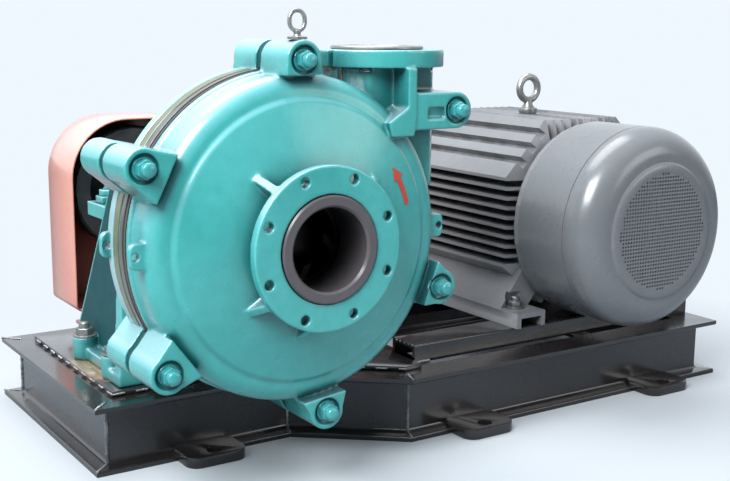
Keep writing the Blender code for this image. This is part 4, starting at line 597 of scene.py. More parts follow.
# Pale teal as a painted highlight along the frame plate's rim
teal_sheen = enamel("teal_sheen", (0.330, 0.560, 0.565, 1), (0.520, 0.680, 0.690, 1), (0.090, 0.300, 0.310, 1),
                   0.28, grime_and_shade=0.5, bump=0.12, coat=0.9, grime_and_shade_colour=(0.020, 0.120, 0.125, 1))
teal_bolt = enamel("teal_bolt", (0.045, 0.360, 0.365, 1), (0.100, 0.470, 0.470, 1), (0.010, 0.150, 0.160, 1),
                   0.30, grime_and_shade=0.9, bump=0.35, coat=0.95, grime_and_shade_colour=(0.004, 0.060, 0.065, 1))
motor_grey = enamel("motor_grey", (0.250, 0.246, 0.256, 1), (0.310, 0.306, 0.316, 1),
                    (0.150, 0.148, 0.154, 1), 0.34, grime_and_shade=0.5, bump=0.14, coat=0.5,
                    grime_and_shade_colour=(0.012, 0.011, 0.012, 1))
fan_cover_grey = enamel("fan_cover_grey", (0.190, 0.196, 0.208, 1), (0.215, 0.221, 0.234, 1),
                        (0.140, 0.143, 0.152, 1), 0.28, grime_and_shade=0.2, bump=0.05, coat=0.8)
guard_red = guard_enamel("guard_red")
bare_tan = [((-0.503, 0.060, 0.108), 0.070), ((-0.470, -0.010, 0.108), 0.045)]
skid_black = skid_enamel("skid_black")
deck_black = skid_enamel("deck_black", bare_tan, 2.1)
weld_metal = bare_metal("weld_metal", (0.620, 0.630, 0.650, 1), (0.060, 0.055, 0.055, 1), 0.30, 0.85,
                        bump=0.5)
# The liner's painted shade makes its bore and recesses near black
liner = enamel("liner_alloy", (0.112, 0.098, 0.104, 1), (0.135, 0.118, 0.126, 1), (0.060, 0.052, 0.055, 1),
               0.36, bump=0.12, coat=0.3, grime_and_shade_colour=(0.0015, 0.0015, 0.0015, 1), painted_recess_shade=1.0)
pale_rim = bare_metal("machined_ring", (0.560, 0.550, 0.535, 1), (0.330, 0.320, 0.310, 1), 0.34, 0.75)
steel = bare_metal("bright_steel", (0.430, 0.425, 0.415, 1), (0.220, 0.215, 0.210, 1), 0.33, 0.9)
zinc = bare_metal("zinc", (0.500, 0.500, 0.490, 1), (0.240, 0.235, 0.225, 1), 0.36, 0.85)
dark_iron = bare_metal("dark_iron", (0.075, 0.075, 0.078, 1), (0.030, 0.030, 0.030, 1), 0.5, 0.5)
rubber = enamel("belt_rubber", (0.018, 0.018, 0.018, 1), (0.030, 0.030, 0.030, 1), (0.010, 0.010, 0.010, 1),
                0.75, coat=0.0)
seam_tan = enamel("seam_band", (0.100, 0.092, 0.080, 1), (0.150, 0.138, 0.120, 1), (0.030, 0.028, 0.025, 1),
                  0.5, coat=0.2)
joint_olive = enamel("joint_olive", (0.170, 0.165, 0.090, 1), (0.260, 0.255, 0.160, 1),
                     (0.060, 0.065, 0.040, 1), 0.35, coat=0.7)
joint_grey = enamel("joint_grey", (0.115, 0.108, 0.106, 1), (0.180, 0.168, 0.164, 1),
                    (0.050, 0.045, 0.044, 1), 0.30, coat=0.6)
packing = enamel("packing_braid", (0.40, 0.37, 0.30, 1), (0.50, 0.47, 0.38, 1), (0.20, 0.18, 0.14, 1), 0.9,
                 coat=0.0)
fan_black = enamel("fan_plastic", (0.022, 0.022, 0.023, 1), (0.035, 0.035, 0.036, 1),
                   (0.012, 0.012, 0.012, 1), 0.5, coat=0.0)
arrow_red = enamel("arrow_red", (0.640, 0.060, 0.035, 1), (0.700, 0.100, 0.060, 1), (0.480, 0.040, 0.025, 1),
                   0.45, grime_and_shade=0.0, bump=0.1)


# Skid

skid_corners = [(skid_left, skid_front_pump), (skid_knee_x, skid_front_pump),
                (skid_shoulder_x, skid_front_motor), (skid_right, skid_front_motor), (skid_right, skid_back),
                (skid_left, skid_back)]
skid_sides = ("front_pump", "diagonal", "front_motor", "right", "rear", "left")


def inward_corner(index, inset):
    """The corner of the skid's outline moved in by an inset from both its sides."""
    before, corner, after = (Vector(skid_corners[(index + step) % len(skid_corners)]) for step in (-1, 0, 1))
    into, out = (corner - before).normalized(), (after - corner).normalized()
    normal_in, normal_out = Vector((-into.y, into.x)), Vector((-out.y, out.x))
    half = (normal_in + normal_out) / (1 + normal_in.dot(normal_out))
    return corner + half * inset


def beam_section():
    """I-section with rolled root fillets and rounded toes, as (inset, height) points."""
    web_out, web_in = (beam_width - beam_web) / 2, (beam_width + beam_web) / 2
    low, top = beam_flange, beam_height - beam_flange
    steps = 5
    section = [(0, 0), (beam_width, 0)]
    section += arc_points((beam_width - beam_toe, low - beam_toe), beam_toe, 0, 90, steps)
    section += arc_points((web_in + beam_fillet, low + beam_fillet), beam_fillet, 270, 180, steps)
    section += arc_points((web_in + beam_fillet, top - beam_fillet), beam_fillet, 180, 90, steps)
    section += arc_points((beam_width - beam_toe, top + beam_toe), beam_toe, 270, 360, steps)
    section += [(beam_width, beam_height), (0, beam_height)]
    section += arc_points((beam_toe, top + beam_toe), beam_toe, 180, 270, steps)
    section += arc_points((web_out - beam_fillet, top - beam_fillet), beam_fillet, 90, 0, steps)
    section += arc_points((web_out - beam_fillet, low + beam_fillet), beam_fillet, 0, -90, steps)
    section += arc_points((beam_toe, low - beam_toe), beam_toe, 90, 180, steps)
    return section


def skid_beam(index):
    count = len(skid_corners)
    along = (Vector(skid_corners[(index + 1) % count]) - Vector(skid_corners[index])).normalized() * touch_gap
    section = beam_section()
    bm = bmesh.new()
    ends = []
    for corner, sign in ((index, 1), ((index + 1) % count, -1)):
        places = [(inward_corner(corner, inset) + along * sign, height) for inset, height in section]
        ends.append([bm.verts.new((place.x, place.y, height)) for place, height in places])
    bm.faces.new(ends[0])
    bm.faces.new(ends[1][::-1])
    for step in range(len(section)):
        following = (step + 1) % len(section)
        bm.faces.new((ends[0][step], ends[1][step], ends[1][following], ends[0][following]))
    return made("beam_" + skid_sides[index], bm)


def hold_down_plate(x, edge, outward):
    web = edge - outward * beam_width / 2
    outer = edge + outward * foot_reach
    middle = (web + outer) / 2
    outline = shifted(rounded_box_outline(foot_length / 2, abs(outer - web) / 2, foot_corner), x, middle)
    plate = extruded("foot", outline, "z", 0, foot_thickness)
    cut(plate, [hole("z", (x, edge + outward * foot_reach / 2), foot_hole, 0, foot_thickness)])
    return bevelled(plate, plate_edge)


def weld_bead(name, start, end, size, pitch, gap_every=0):
    """A chain of overlapping ripples along a straight seam."""
    start, end = Vector(start), Vector(end)
    length = (end - start).length
    along = (end - start).normalized()
    count = max(2, int(length / pitch))
    bm = bmesh.new()
    for index in range(count):
        if gap_every and (index // gap_every) % 2:
            continue
        radius = size * (bead_least + bead_spread * randomness.random())
        ripple = bmesh.ops.create_icosphere(bm, subdivisions=1, radius=radius)
        place = start + along * (length * (index + 0.5) / count)
        wobble = Vector([randomness.uniform(-1, 1) for _ in range(3)]) * size * bead_wobble
        bmesh.ops.translate(bm, verts=ripple["verts"], vec=place + wobble)
    return made(name, bm)


foot_plates = {"front_pump": [hold_down_plate(pump_foot_x, skid_front_pump, -1)],
               "front_motor": [hold_down_plate(x, skid_front_motor, -1) for x in front_foot_xs],
               "rear": [hold_down_plate(x, skid_back, 1) for x in rear_foot_xs]}
for side_index, side_name in enumerate(skid_sides):
    beam = skid_beam(side_index)
    piece = merged("skid_" + side_name, [beam] + foot_plates.get(side_name, []))
    seated(piece, floor_place, skid_black, static_body, "skid_beam_" + side_name, slot="skid_paint")


def deck():
    corners = [inward_corner(index, deck_inset) for index in (0, 1, 2)]
    back = skid_back - deck_inset
    outline = [(corners[0].x, corners[0].y), (corners[1].x, corners[1].y), (corners[2].x, corners[2].y),
               (deck_right, corners[2].y), (deck_right, back), (corners[0].x, back)]
    plate = extruded("deck", outline, "z", rail_base, deck_top)
    return bevelled(plate, sheet_edge)


def channel_rail(name, y):
    corner_z = rail_top - rail_corner
    outline = [(y + rail_width, rail_base)]
    outline += arc_points((y + rail_width - rail_corner, corner_z), rail_corner, 0, 90, corner_steps)
    outline += arc_points((y + rail_corner, corner_z), rail_corner, 90, 180, corner_steps)
    left, right = y + rail_wall, y + rail_width - rail_wall
    inner_radius = rail_wall * rail_inner_share
    corner_z = rail_top - rail_wall - inner_radius
    outline += [(y, rail_base), (left, rail_base)]
    outline += arc_points((left + inner_radius, corner_z), inner_radius, 180, 90, corner_steps)
    outline += arc_points((right - inner_radius, corner_z), inner_radius, 90, 0, corner_steps)
    rail = extruded(name, outline + [(right, rail_base)], "x", rail_left, rail_right)
    return bevelled(rail, rail_edge, 1)


seated(deck(), floor_place, deck_black, static_body, "deck_plate", slot="skid_paint")
for rail_name, bolt_y in zip(("motor_rail_front", "motor_rail_rear"), motor_bolt_ys):
    seated(channel_rail("dressed_" + rail_name, bolt_y - rail_width / 2), floor_place, skid_black,
           static_body, rail_name, slot="skid_paint")


def weld_lines():
    """Stitches along the deck's edges, beads up the beams' corners and round the rails' cut ends."""
    corners = [inward_corner(index, deck_inset) for index in (0, 1, 2)]
    low, back = rail_base + stitch_lift, skid_back - deck_inset
    left_front, knee, shoulder = ((corner.x, corner.y) for corner in corners)
    left, front = left_front[0] - bead_shift, left_front[1] - bead_shift
    lines = [((left, left_front[1], low), (left, back, low)),
             ((left_front[0], front, low), (knee[0], knee[1] - bead_shift, low)),
             ((knee[0], knee[1] - bead_shift, low), (shoulder[0], shoulder[1] - bead_shift, low))]
    beads = [weld_bead("stitch", start, end, *stitch_bead) for start, end in lines]
    for index in (0, 1, 2, 5):
        outer, inner = Vector(skid_corners[index]), inward_corner(index, (beam_width - beam_web) / 2)
        beads.append(weld_bead("corner", (inner.x, inner.y, beam_flange),
                               (inner.x, inner.y, beam_height - beam_flange), *corner_bead))
        for height in (beam_height, beam_flange):
            beads.append(weld_bead("mitre", (outer.x, outer.y, height), (inner.x, inner.y, height),
                                   *mitre_bead))
    foot, top = rail_base + bead_shift, rail_top - bead_drop
    for y in motor_bolt_ys:
        for edge in (y - rail_width / 2, y + rail_width / 2):
            beads.append(weld_bead("rail_end", (rail_left - bead_shift, edge, foot),
                                   (rail_left + rail_bead_length, edge, foot), *rail_end_bead))
        beads.append(weld_bead("rail_cut", (rail_left, y - rail_width / 2 + rail_corner, top),
                               (rail_left, y + rail_width / 2 - rail_corner, top), *rail_cut_bead))
    return merged("weld_lines", beads)


seated(weld_lines(), floor_place, weld_metal, static_body, slot="skid_paint")


# Casing

lug_places = [polar(circle, math.radians(angle)) for angle, circle in zip(lug_angles, lug_circles)]


def seat_casting(obj, *replaced):
    return seated(obj, pump_place, teal, static_body, *replaced, slot="casing_paint")


def shoulder_curve(front_radius, front_y, back_radius, back_y, steps=arc_steps * 2):
    points = []
    for step in range(1, steps + 1):
        angle = math.pi / 2 * step / steps
        points.append((front_radius + (back_radius - front_radius) * math.sin(angle),
                       back_y + (front_y - back_y) * math.cos(angle)))
    return points


def cover_inside(margin):
    wall = casing_wall + margin
    front_radius = crease_radius - casing_wall / 2
    points = [(casing_radius - wall, cover_back)]
    points += shoulder_curve(front_radius, crease_front + wall, casing_radius - wall,
                             shoulder_front + wall / 2)[::-1]
    points += [(front_radius, crease_front + wall), (neck_radius, neck_face + wall)]
    return points


def cover_cone_y(radius, margin):
    (outer_radius, outer_y), (inner_radius, inner_y) = cover_inside(margin)[-2:]
    return inner_y + (outer_y - inner_y) * (radius - inner_radius) / (outer_radius - inner_radius)


def cone_front(radius):
    """The outer face of the cover's cone."""
    first, last = (neck_radius, neck_face), (crease_radius - crease_width, crease_front - crease_depth)
    return first[1] + (last[1] - first[1]) * (radius - first[0]) / (last[0] - first[0])


def flange_reach(side):
    return discharge_y + side * (discharge_flange_radius + overrun)


def rest_box(name, start_y, end_y, top=discharge_top + overrun):
    half = discharge_flange_radius + overrun
    return box(name, (discharge_x - half, discharge_x + half), (start_y, end_y),
               (discharge_neck_foot - overrun, top))


def neck_tube(start_y, end_y, hollow):
    tube = rod("neck", "z", (discharge_x, discharge_y), discharge_neck_radius, discharge_neck_foot,
               discharge_top - overrun, ring_steps)
    flange = rod("flange", "z", (discharge_x, discharge_y), discharge_flange_radius,
                 discharge_top - discharge_flange_thickness, discharge_top, ring_steps)
    cutters = [hollow]
    if start_y < rib_floor:
        cutters.append(rest_box("flat", flange_reach(-1), rib_floor,
                                discharge_top - discharge_flange_thickness))
    ends = []
    if start_y > flange_reach(-1):
        ends.append(rest_box("front", flange_reach(-1), start_y))
    if end_y < flange_reach(1):
        ends.append(rest_box("behind", end_y, flange_reach(1)))
    return cut(joined(cut(tube, cutters), [flange]), ends)


def discharge_cutters():
    cutters = [rod("bore", "z", (discharge_x, discharge_y), sleeve_liner_radius + touch_gap,
                   sleeve_liner_foot - touch_gap, discharge_top + overrun)]
    for index in range(discharge_hole_count):
        x, y = polar(discharge_bolt_circle, math.tau * (index + 0.5) / discharge_hole_count)
        cutters.append(hole("z", (discharge_x + x, discharge_y + y), discharge_hole_radius,
                            discharge_top - discharge_flange_thickness, discharge_top))
    return cutters


def neck_rib():
    top = discharge_top - discharge_flange_thickness + touch_gap
    outer = rib_x + rib_width
    outline = [(rib_x, top), (rib_x, rib_knee_height), (rib_end_x, rib_end_height),
               (rib_end_x + rib_width / 3, rib_tip_height), (rib_foot_x, rib_tip_height),
               (outer, rib_knee_height - rib_width), (outer, top)]
    return extruded("rib", outline, "y", rib_front, rib_floor + overrun)


def lug_body(index, start, end, inset=0.0):
    x, z = lug_places[index]
    outline = arc_points((math.hypot(x, z), 0), lug_radius - inset, -90, 90, arc_steps * 2)
    root = casing_radius - casing_wall / 2
    half = lug_root_widths[index] / 2 - inset
    outline += [(root, half), (root, -half)]
    return extruded("lug", rotated(outline, math.degrees(math.atan2(z, x))), "y", start, end)


def arm_body(start, end):
    x, z = lug_places[-1]
    outline = arc_points((x, z), lug_radius, -90, 90, arc_steps * 2)
    outline += [(arm_left, z + lug_radius), (arm_left, z - lug_radius)]
    return extruded("arm", outline, "y", start, end)


def casing_lugs(start, end, front):
    lugs, cutters = [], []
    for index, centre in enumerate(lug_places):
        last = index == len(lug_places) - 1
        lugs.append(arm_body(start, end) if last else lug_body(index, start, end))
        cutters.append(hole("y", centre, lug_hole_radius, start, end))
        if front:
            near, far = start - overrun, start + lug_recess_depth
        else:
            near, far = end, flange_reach(1)
        cutters.append(rod("recess", "y", centre, lug_recess_radius, near, far))
    return lugs, cutters


def side_pad(side, start, end):
    inner = casing_radius - casing_wall / 2
    half, corner = pad_width / 2, pad_corner
    outline = [(inner, -half)] + arc_points((pad_reach - corner, -half + corner), corner, -90, 0)
    outline += arc_points((pad_reach - corner, half - corner), corner, 0, 90) + [(inner, half)]
    pad = extruded("pad", rotated(outline, side), "y", start, end)
    hole_x = (inner + pad_reach) / 2 + casing_wall / 4
    return cut(pad, [hole("y", rotated([(hole_x, 0)], side)[0], pad_hole_radius, start, end)])


def gusset(angle):
    half = gusset_thickness / 2
    start = neck_radius - overrun
    back = suction_face + suction_flange_thickness / 2
    middle = -casing_wall / 2
    outline = [(start, back), (suction_flange_radius - overrun, back),
               (gusset_reach, cover_cone_y(gusset_reach, middle)), (start, cover_cone_y(start, middle))]
    web = extruded("gusset", outline, "z", -half, half)
    web.data.transform(Matrix.Rotation(math.radians(-angle), 4, 'Y'))
    return web


def cover_hollow():
    middle = casing_wall / 2
    inside = [(0, cover_back + overrun), (casing_radius - middle, cover_back + overrun)]
    inside += cover_inside(-middle) + [(0, neck_face + middle)]
    return turned("inside", inside[::-1])


def cover():
    outer = [(throat_outer_radius + touch_gap, suction_face), (suction_flange_radius, suction_face),
             (suction_flange_radius, suction_face + suction_flange_thickness),
             (neck_radius, suction_face + suction_flange_thickness), (neck_radius, neck_face),
             (crease_radius - crease_width, crease_front - crease_depth), (crease_radius, crease_front)]
    outer += shoulder_curve(crease_radius, crease_front, casing_radius - rim_step, shoulder_front)
    outer += [(casing_radius - rim_step, cover_back - rim_width),
              (casing_radius, cover_back - rim_width + rim_step / 2), (casing_radius, cover_back)]
    bore = [(throat_outer_radius + touch_gap, neck_face + casing_wall)]
    shell = turned("casing_cover", outer + cover_inside(0) + bore)
    lugs, cutters = casing_lugs(lug_front, cover_back, True)
    pads = [side_pad(side, pad_cover_front, pad_cover_back) for side in pad_angles]
    neck = neck_tube(flange_reach(-1), cover_back, cover_hollow())
    joined(shell, [neck, cut(neck_rib(), [cover_hollow()])] + lugs + pads
           + [gusset(angle) for angle in gusset_angles])
    cutters.append(box("groove", (groove_left, groove_right), (lug_front - overrun, lug_front + groove_depth),
                       (groove_low, groove_high)))
    for angle in even_angles(suction_hole_count, suction_hole_start):
        cutters.append(hole("y", polar(suction_hole_circle, angle), suction_hole_radius, suction_face,
                            suction_face + suction_flange_thickness))
    cut(shell, cutters + discharge_cutters())
    return cast(shell, *cover_skin)


def back_plate():
    wall = casing_radius - casing_wall
    profile = [(wall, frame_front), (casing_radius, frame_front), (casing_radius, frame_back - rim_step),
               (casing_radius - rim_step, frame_back), (stuffing_radius + touch_gap, frame_back),
               (stuffing_radius + touch_gap, frame_back - frame_wall), (wall, frame_back - frame_wall)]
    plate = turned("casing_back", profile)
    lugs, cutters = casing_lugs(frame_front + lug_gap, lug_back, False)
    pads = [side_pad(side, pad_frame_front, pad_frame_back) for side in pad_angles]
    hollow = rod("inside", "y", (0, 0), casing_radius - casing_wall / 2, frame_front - overrun,
                 frame_back - frame_wall / 2, ring_steps)
    joined(plate, [neck_tube(frame_front, flange_reach(1), hollow)] + lugs + pads)
    cut(plate, cutters + discharge_cutters())
    return cast(plate, *back_skin)


seat_casting(cover(), "cover_plate")
seat_casting(back_plate(), "frame_plate")


def hex_nut(name, centre, direction, across, start, end):
    nut = extruded(name, circle_points(centre, across / math.sqrt(3), 6, math.pi / 6), direction, start, end)
    return bevelled(nut, across * nut_edge_share, 3, 50)


def domed_rod(name, radius, start, end, dome):
    """A round bar along Y whose front end is rounded like an upset bolt end."""
    turns = [math.pi / 2 * step / dome_steps for step in range(1, dome_steps + 1)]
    profile = [(0, start)]
    profile += [(radius * math.sin(turn), start + dome * (1 - math.cos(turn))) for turn in turns]
    profile += [(radius, end - dome / 2), (radius - dome / 2, end), (0, end)]
    return turned(name, profile, bolt_steps)


def threaded(name, radius, start, end):
    """Close-set rings that read as a thread."""
    count = max(1, int((end - start) / thread_pitch))
    root = radius - thread_depth
    profile = [(0, start), (root, start)]
    for index in range(count):
        low = start + (end - start) * index / count
        high = start + (end - start) * (index + 1) / count
        profile += [(radius, (low + high) / 2), (root, high)]
    profile += [(0, end)]
    return turned(name, profile, thread_steps)


def shift_object(obj, vector):
    obj.data.transform(Matrix.Translation(vector))
    return obj


def dressed_lug_bolt(index):
    x, z = lug_places[index]
    seat = lug_front + lug_recess_depth - touch_gap
    nut_back = seat - washer_thickness
    nut_front = nut_back - nut_thickness
    tip = nut_front - bolt_tail
    rear = lug_back + touch_gap + nut_thickness
    stud = domed_rod("stud", bolt_radius, tip, rear + bolt_tail / 2, bolt_dome)
    parts = [shift_object(stud, (x, 0, z))]
    profile = [(bolt_radius, nut_back), (washer_radius - washer_edge, nut_back),
               (washer_radius, nut_back + washer_edge), (washer_radius, seat), (bolt_radius, seat)]
    parts.append(shift_object(turned("washer", profile, bolt_steps), (x, 0, z)))
    for start, end in ((nut_front, nut_back), (lug_back + touch_gap, rear)):
        parts.append(hex_nut("nut", (x, z), "y", nut_across, start, end))
    return merged("lug_bolt_%d" % (index + 1), parts)


for bolt_index in range(len(lug_places)):
    seated(dressed_lug_bolt(bolt_index), pump_place, teal_bolt, static_body,
           "cover_bolt_%d" % (bolt_index + 1), slot="casing_paint")


def joint_cutters(start, end):
    """What keeps a ring round the casing clear of the discharge bore, the arm's bolt and the inside."""
    bore = sleeve_liner_radius + touch_gap
    return [hole("y", (0, 0), casing_radius - casing_wall, start, end, ring_steps),
            box("bore", (discharge_x - bore, discharge_x + bore), (start - overrun, end + overrun),
                (sleeve_liner_foot - touch_gap, discharge_top)),
            hole("y", lug_places[-1], lug_hole_radius, start, end)]


def seam_band():
    start, end = cover_back + touch_gap, frame_front - touch_gap
    inner, edge = casing_radius - casing_wall, casing_radius - touch_gap
    quarter = (end - start) / 4
    profile = [(inner, start), (edge - seam_step * 2, start), (edge - seam_step * 2, start + quarter),
               (edge, start + quarter), (edge, end - quarter), (edge - seam_step, end - quarter),
               (edge - seam_step, end), (inner, end)]
    ring = turned("seam_band", profile)
    half = math.sqrt(discharge_neck_radius ** 2 - (discharge_y - cover_back) ** 2) - touch_gap
    neck = box("neck", (discharge_x - half, discharge_x + half), (start, end),
               (discharge_neck_foot, discharge_top - discharge_flange_thickness))
    return cut(joined(ring, [neck]), joint_cutters(start, end))


def rim_hoop(name, start, end, proud):
    """A band let into the back half's rim, standing a little out of it."""
    outer, inner = casing_radius + proud, casing_radius - rim_step
    edge = min(proud, end - start) / 3
    profile = [(inner, start), (outer - edge, start), (outer, start + edge), (outer, end - edge),
               (outer - edge, end), (inner, end)]
    return cut(turned(name, profile), joint_cutters(start, end))


def lug_spacers():
    """Necks in the gaps between the lugs' two halves, dark teal as painted shade."""
    pieces = []
    start, end = cover_back, frame_front + lug_gap
    inside = casing_radius + hoop_proud * 2 + touch_gap
    for index, centre in enumerate(lug_places[:-1]):
        neck = lug_body(index, start + touch_gap, end - touch_gap, lug_gap_depth)
        pieces.append(cut(neck, [hole("y", centre, lug_hole_radius, start, end),
                                 hole("y", (0, 0), inside, start, end, ring_steps)]))
    return merged("lug_spacers", pieces)


seated(lug_spacers(), pump_place, teal_shade, static_body, slot="casing_paint")
seated(seam_band(), pump_place, seam_tan, static_body, "casing_gasket", slot="joint_liner")
# Bands round the joint: grey and olive joint rings, and a pale band painted as a highlight on the frame
# plate's rim
for hoop_name, hoop_start, hoop_end, hoop_share, hoop_look, hoop_slot in (
        ("grey_hoop", frame_front + touch_gap, grey_hoop_end, 1, joint_grey, "joint_liner"),
        ("olive_hoop", olive_hoop_start, olive_hoop_end, 1.5, joint_olive, "joint_liner"),
        ("sheen_hoop", sheen_hoop_start, frame_back - rim_step, 2, teal_sheen, "casing_paint")):
    seated(rim_hoop(hoop_name, hoop_start, hoop_end, hoop_proud * hoop_share), pump_place, hoop_look,
           static_body, slot=hoop_slot)


def oval_link(name, centre, half_width, half_height, wire, sides=14, steps=64):
    """A forged oval ring standing in the plane across Y."""
    bm = bmesh.new()
    rings = []
    straight = half_height - half_width
    for step in range(steps):
        turn = math.tau * step / steps
        along = Vector((-math.sin(turn), 0, math.cos(turn)))
        out = Vector((math.cos(turn), 0, math.sin(turn)))
        place = out * half_width + Vector((0, 0, straight if math.sin(turn) > 0 else -straight))
        ring = []
        for side in range(sides):
            around = math.tau * side / sides
            ring.append(bm.verts.new(Vector(centre) + place + out * wire * math.cos(around)
                                     + Vector((0, 1, 0)) * wire * math.sin(around)))
        rings.append(ring)
    for ring, following in zip(rings, rings[1:] + rings[:1]):
        for side in range(sides):
            other = (side + 1) % sides
            bm.faces.new((ring[side], ring[other], following[other], following[side]))
    return made(name, bm)


def upright(obj):
    """Stands a piece that was turned about Y on end, with what was its front at the bottom."""
    obj.data.transform(Matrix.Rotation(math.pi / 2, 4, 'X'))
    return obj


def lifting_link():
    x, z = lug_places[0]
    y = lug_front + eye_link_inset
    seat = z + lug_radius + touch_gap
    half_width, half_height = eye_link_width / 2 - eye_wire_radius, eye_link_height / 2 - eye_wire_radius
    middle = seat + eye_stem_length + half_height
    link = oval_link("lifting_link", (x, y, middle), half_width, half_height, eye_wire_radius)
    collar = upright(turned("collar", eye_collar_profile, bolt_steps))
    return merged("lifting_link", [link, shift_object(collar, (x, y, seat))])


def motor_eye():
    seat = motor_top_reach + touch_gap
    middle = seat + motor_eye_collar_height + motor_eye_neck + motor_eye_radius
    collar = bevelled(rod("collar", "z", (0, motor_eye_y), motor_eye_collar_radius, seat,
                          seat + motor_eye_collar_height, bolt_steps), cast_edge, 3)
    neck = upright(turned("neck", motor_eye_neck_profile, bolt_steps))
    shift_object(neck, (0, motor_eye_y, seat + motor_eye_collar_height - touch_gap))
    ring = oval_link("motor_eye", (0, motor_eye_y, middle), motor_eye_radius, motor_eye_radius,
                     motor_eye_wire)
    return merged("motor_eye", [ring, collar, neck])


seated(lifting_link(), pump_place, zinc, static_body, "lifting_eye", slot="zinc_plate")
seated(motor_eye(), motor_place, zinc, static_body, "motor_eye_bolt", slot="zinc_plate")


# Wet end

def volute():
    outer = [(casing_radius - casing_wall - touch_gap, liner_back)] + cover_inside(touch_gap)[:-1]
    outer += [(throat_disc_radius + touch_gap, cover_cone_y(throat_disc_radius + touch_gap, touch_gap)),
              (throat_disc_radius + touch_gap, liner_back)]
    shell = turned("volute_shell", outer)
    neck = rod("neck", "z", (discharge_x, discharge_y), sleeve_liner_radius, sleeve_liner_foot,
               discharge_top + discharge_ring_height / 2, ring_steps)
    joined(shell, [neck])
    spiral = []
    for step in range(ring_steps):
        share = step / (ring_steps - 1)
        angle = math.radians(volute_cutwater_angle) + math.tau * share * (ring_steps - 1) / ring_steps
        radius = volute_start_radius + (volute_end_radius - volute_start_radius) * share
        spiral.append(polar(radius, angle))
    cavity = extruded("cavity", spiral, "y", cavity_front, cavity_back)
    bore = rod("bore", "z", (discharge_x, discharge_y), discharge_bore_radius, sleeve_liner_foot + overrun,
               discharge_top + discharge_ring_height + overrun)
    return cut(shell, [cavity, bore])


def discharge_ring():
    """The liner's pale machined face on top of the discharge flange."""
    low, top = discharge_top + touch_gap, discharge_top + discharge_ring_height
    bore, outer = discharge_bore_radius, discharge_ring_radius
    profile = [(bore, low), (outer - ring_foot_edge, low), (outer, low + ring_foot_edge),
               (outer, top - ring_top_edge), (outer - ring_top_edge, top), (bore + ring_lip_radius, top),
               (bore + ring_groove_start, top - ring_groove_depth),
               (bore + ring_groove_end, top - ring_groove_depth), (bore, top - ring_bore_drop)]
    return shift_object(upright(turned("discharge_ring", profile)), (discharge_x, discharge_y, 0))


def throat():
    front, inner = suction_face - throat_proud, throat_bore_chamfer
    profile = [(throat_bore_radius + inner, front), (throat_outer_radius - throat_chamfer, front),
               (throat_outer_radius, front + throat_chamfer),
               (throat_outer_radius, neck_face + casing_wall + touch_gap),
               (neck_radius, neck_face + casing_wall + touch_gap),
               (throat_disc_radius, cover_cone_y(throat_disc_radius, touch_gap)),
               (throat_disc_radius, cavity_front), (throat_bore_radius + inner, cavity_front),
               (throat_bore_radius, cavity_front - inner),
               (throat_bore_radius, front + inner)]
    return turned("throat_liner", profile)


def vane_outline(index):
    front, back = [], []
    for step in range(curve_steps + 1):
        share = step / curve_steps
        radius = vane_start_radius + (impeller_radius - vane_inset - vane_start_radius) * share
        angle = math.tau * index / vane_count - math.radians(vane_sweep) * share
        half = vane_thickness / 2 / radius
        front.append(polar(radius, angle + half))
        back.append(polar(radius, angle - half))
    return front + back[::-1]


def dressed_impeller():
    front, back = impeller_front, impeller_back
    turns = [math.pi / 2 * step / nose_steps for step in range(nose_steps, 0, -1)]
    nose = [(impeller_hub_radius * math.sin(turn), impeller_nose + impeller_nose_depth * (1 - math.cos(turn)))
            for turn in turns]
    body = [(0, impeller_bore_end), (impeller_bore, impeller_bore_end), (impeller_bore, back),
            (impeller_radius, back), (impeller_radius, back - shroud_thickness),
            (impeller_hub_radius + shroud_thickness, back - shroud_thickness),
            (impeller_hub_radius, back - shroud_thickness * 2)] + nose + [(0, impeller_nose)]
    hub = turned("impeller_body", body, turn_steps)
    shroud = turned("shroud", [(impeller_eye_radius, front), (impeller_radius, front),
                               (impeller_radius, front + shroud_thickness),
                               (impeller_eye_radius, front + shroud_thickness)], turn_steps)
    vanes = [extruded("vane", vane_outline(index), "y", front + shroud_thickness / 2,
                      back - shroud_thickness / 2) for index in range(vane_count)]
    return merged("impeller_body", [hub, shroud] + vanes)


seated(volute(), pump_place, liner, static_body, "volute_liner", slot="liner_alloy")
seated(discharge_ring(), pump_place, pale_rim, static_body, slot="liner_alloy")
seated(throat(), pump_place, liner, static_body, "throat_bush", slot="liner_alloy")
seated(dressed_impeller(), pump_place, liner, pump_body, "impeller", slot="liner_alloy")


# Shaft, seal and bearing assembly

def pump_shaft():
    front, step = impeller_bore_end + touch_gap, impeller_back + touch_gap
    profile = [(0, front), (shaft_thread_radius, front), (shaft_thread_radius, step), (shaft_radius, step),
               (shaft_radius, shaft_end - shaft_chamfer), (shaft_radius - shaft_chamfer, shaft_end),
               (0, shaft_end)]
    return turned("shaft", profile, shaft_steps)


seated(pump_shaft(), pump_place, steel, pump_body, "pump_shaft", slot="bare_steel")


def stuffing():
    front = frame_back - frame_wall
    profile = [(stuffing_throat_radius, front), (stuffing_radius, front), (stuffing_radius, stuffing_end),
               (stuffing_bore_radius, stuffing_end), (stuffing_bore_radius, stuffing_throat_end),
               (stuffing_throat_radius, stuffing_throat_end)]
    return bevelled(turned("stuffing_body", profile, turn_steps), cast_edge, 3)


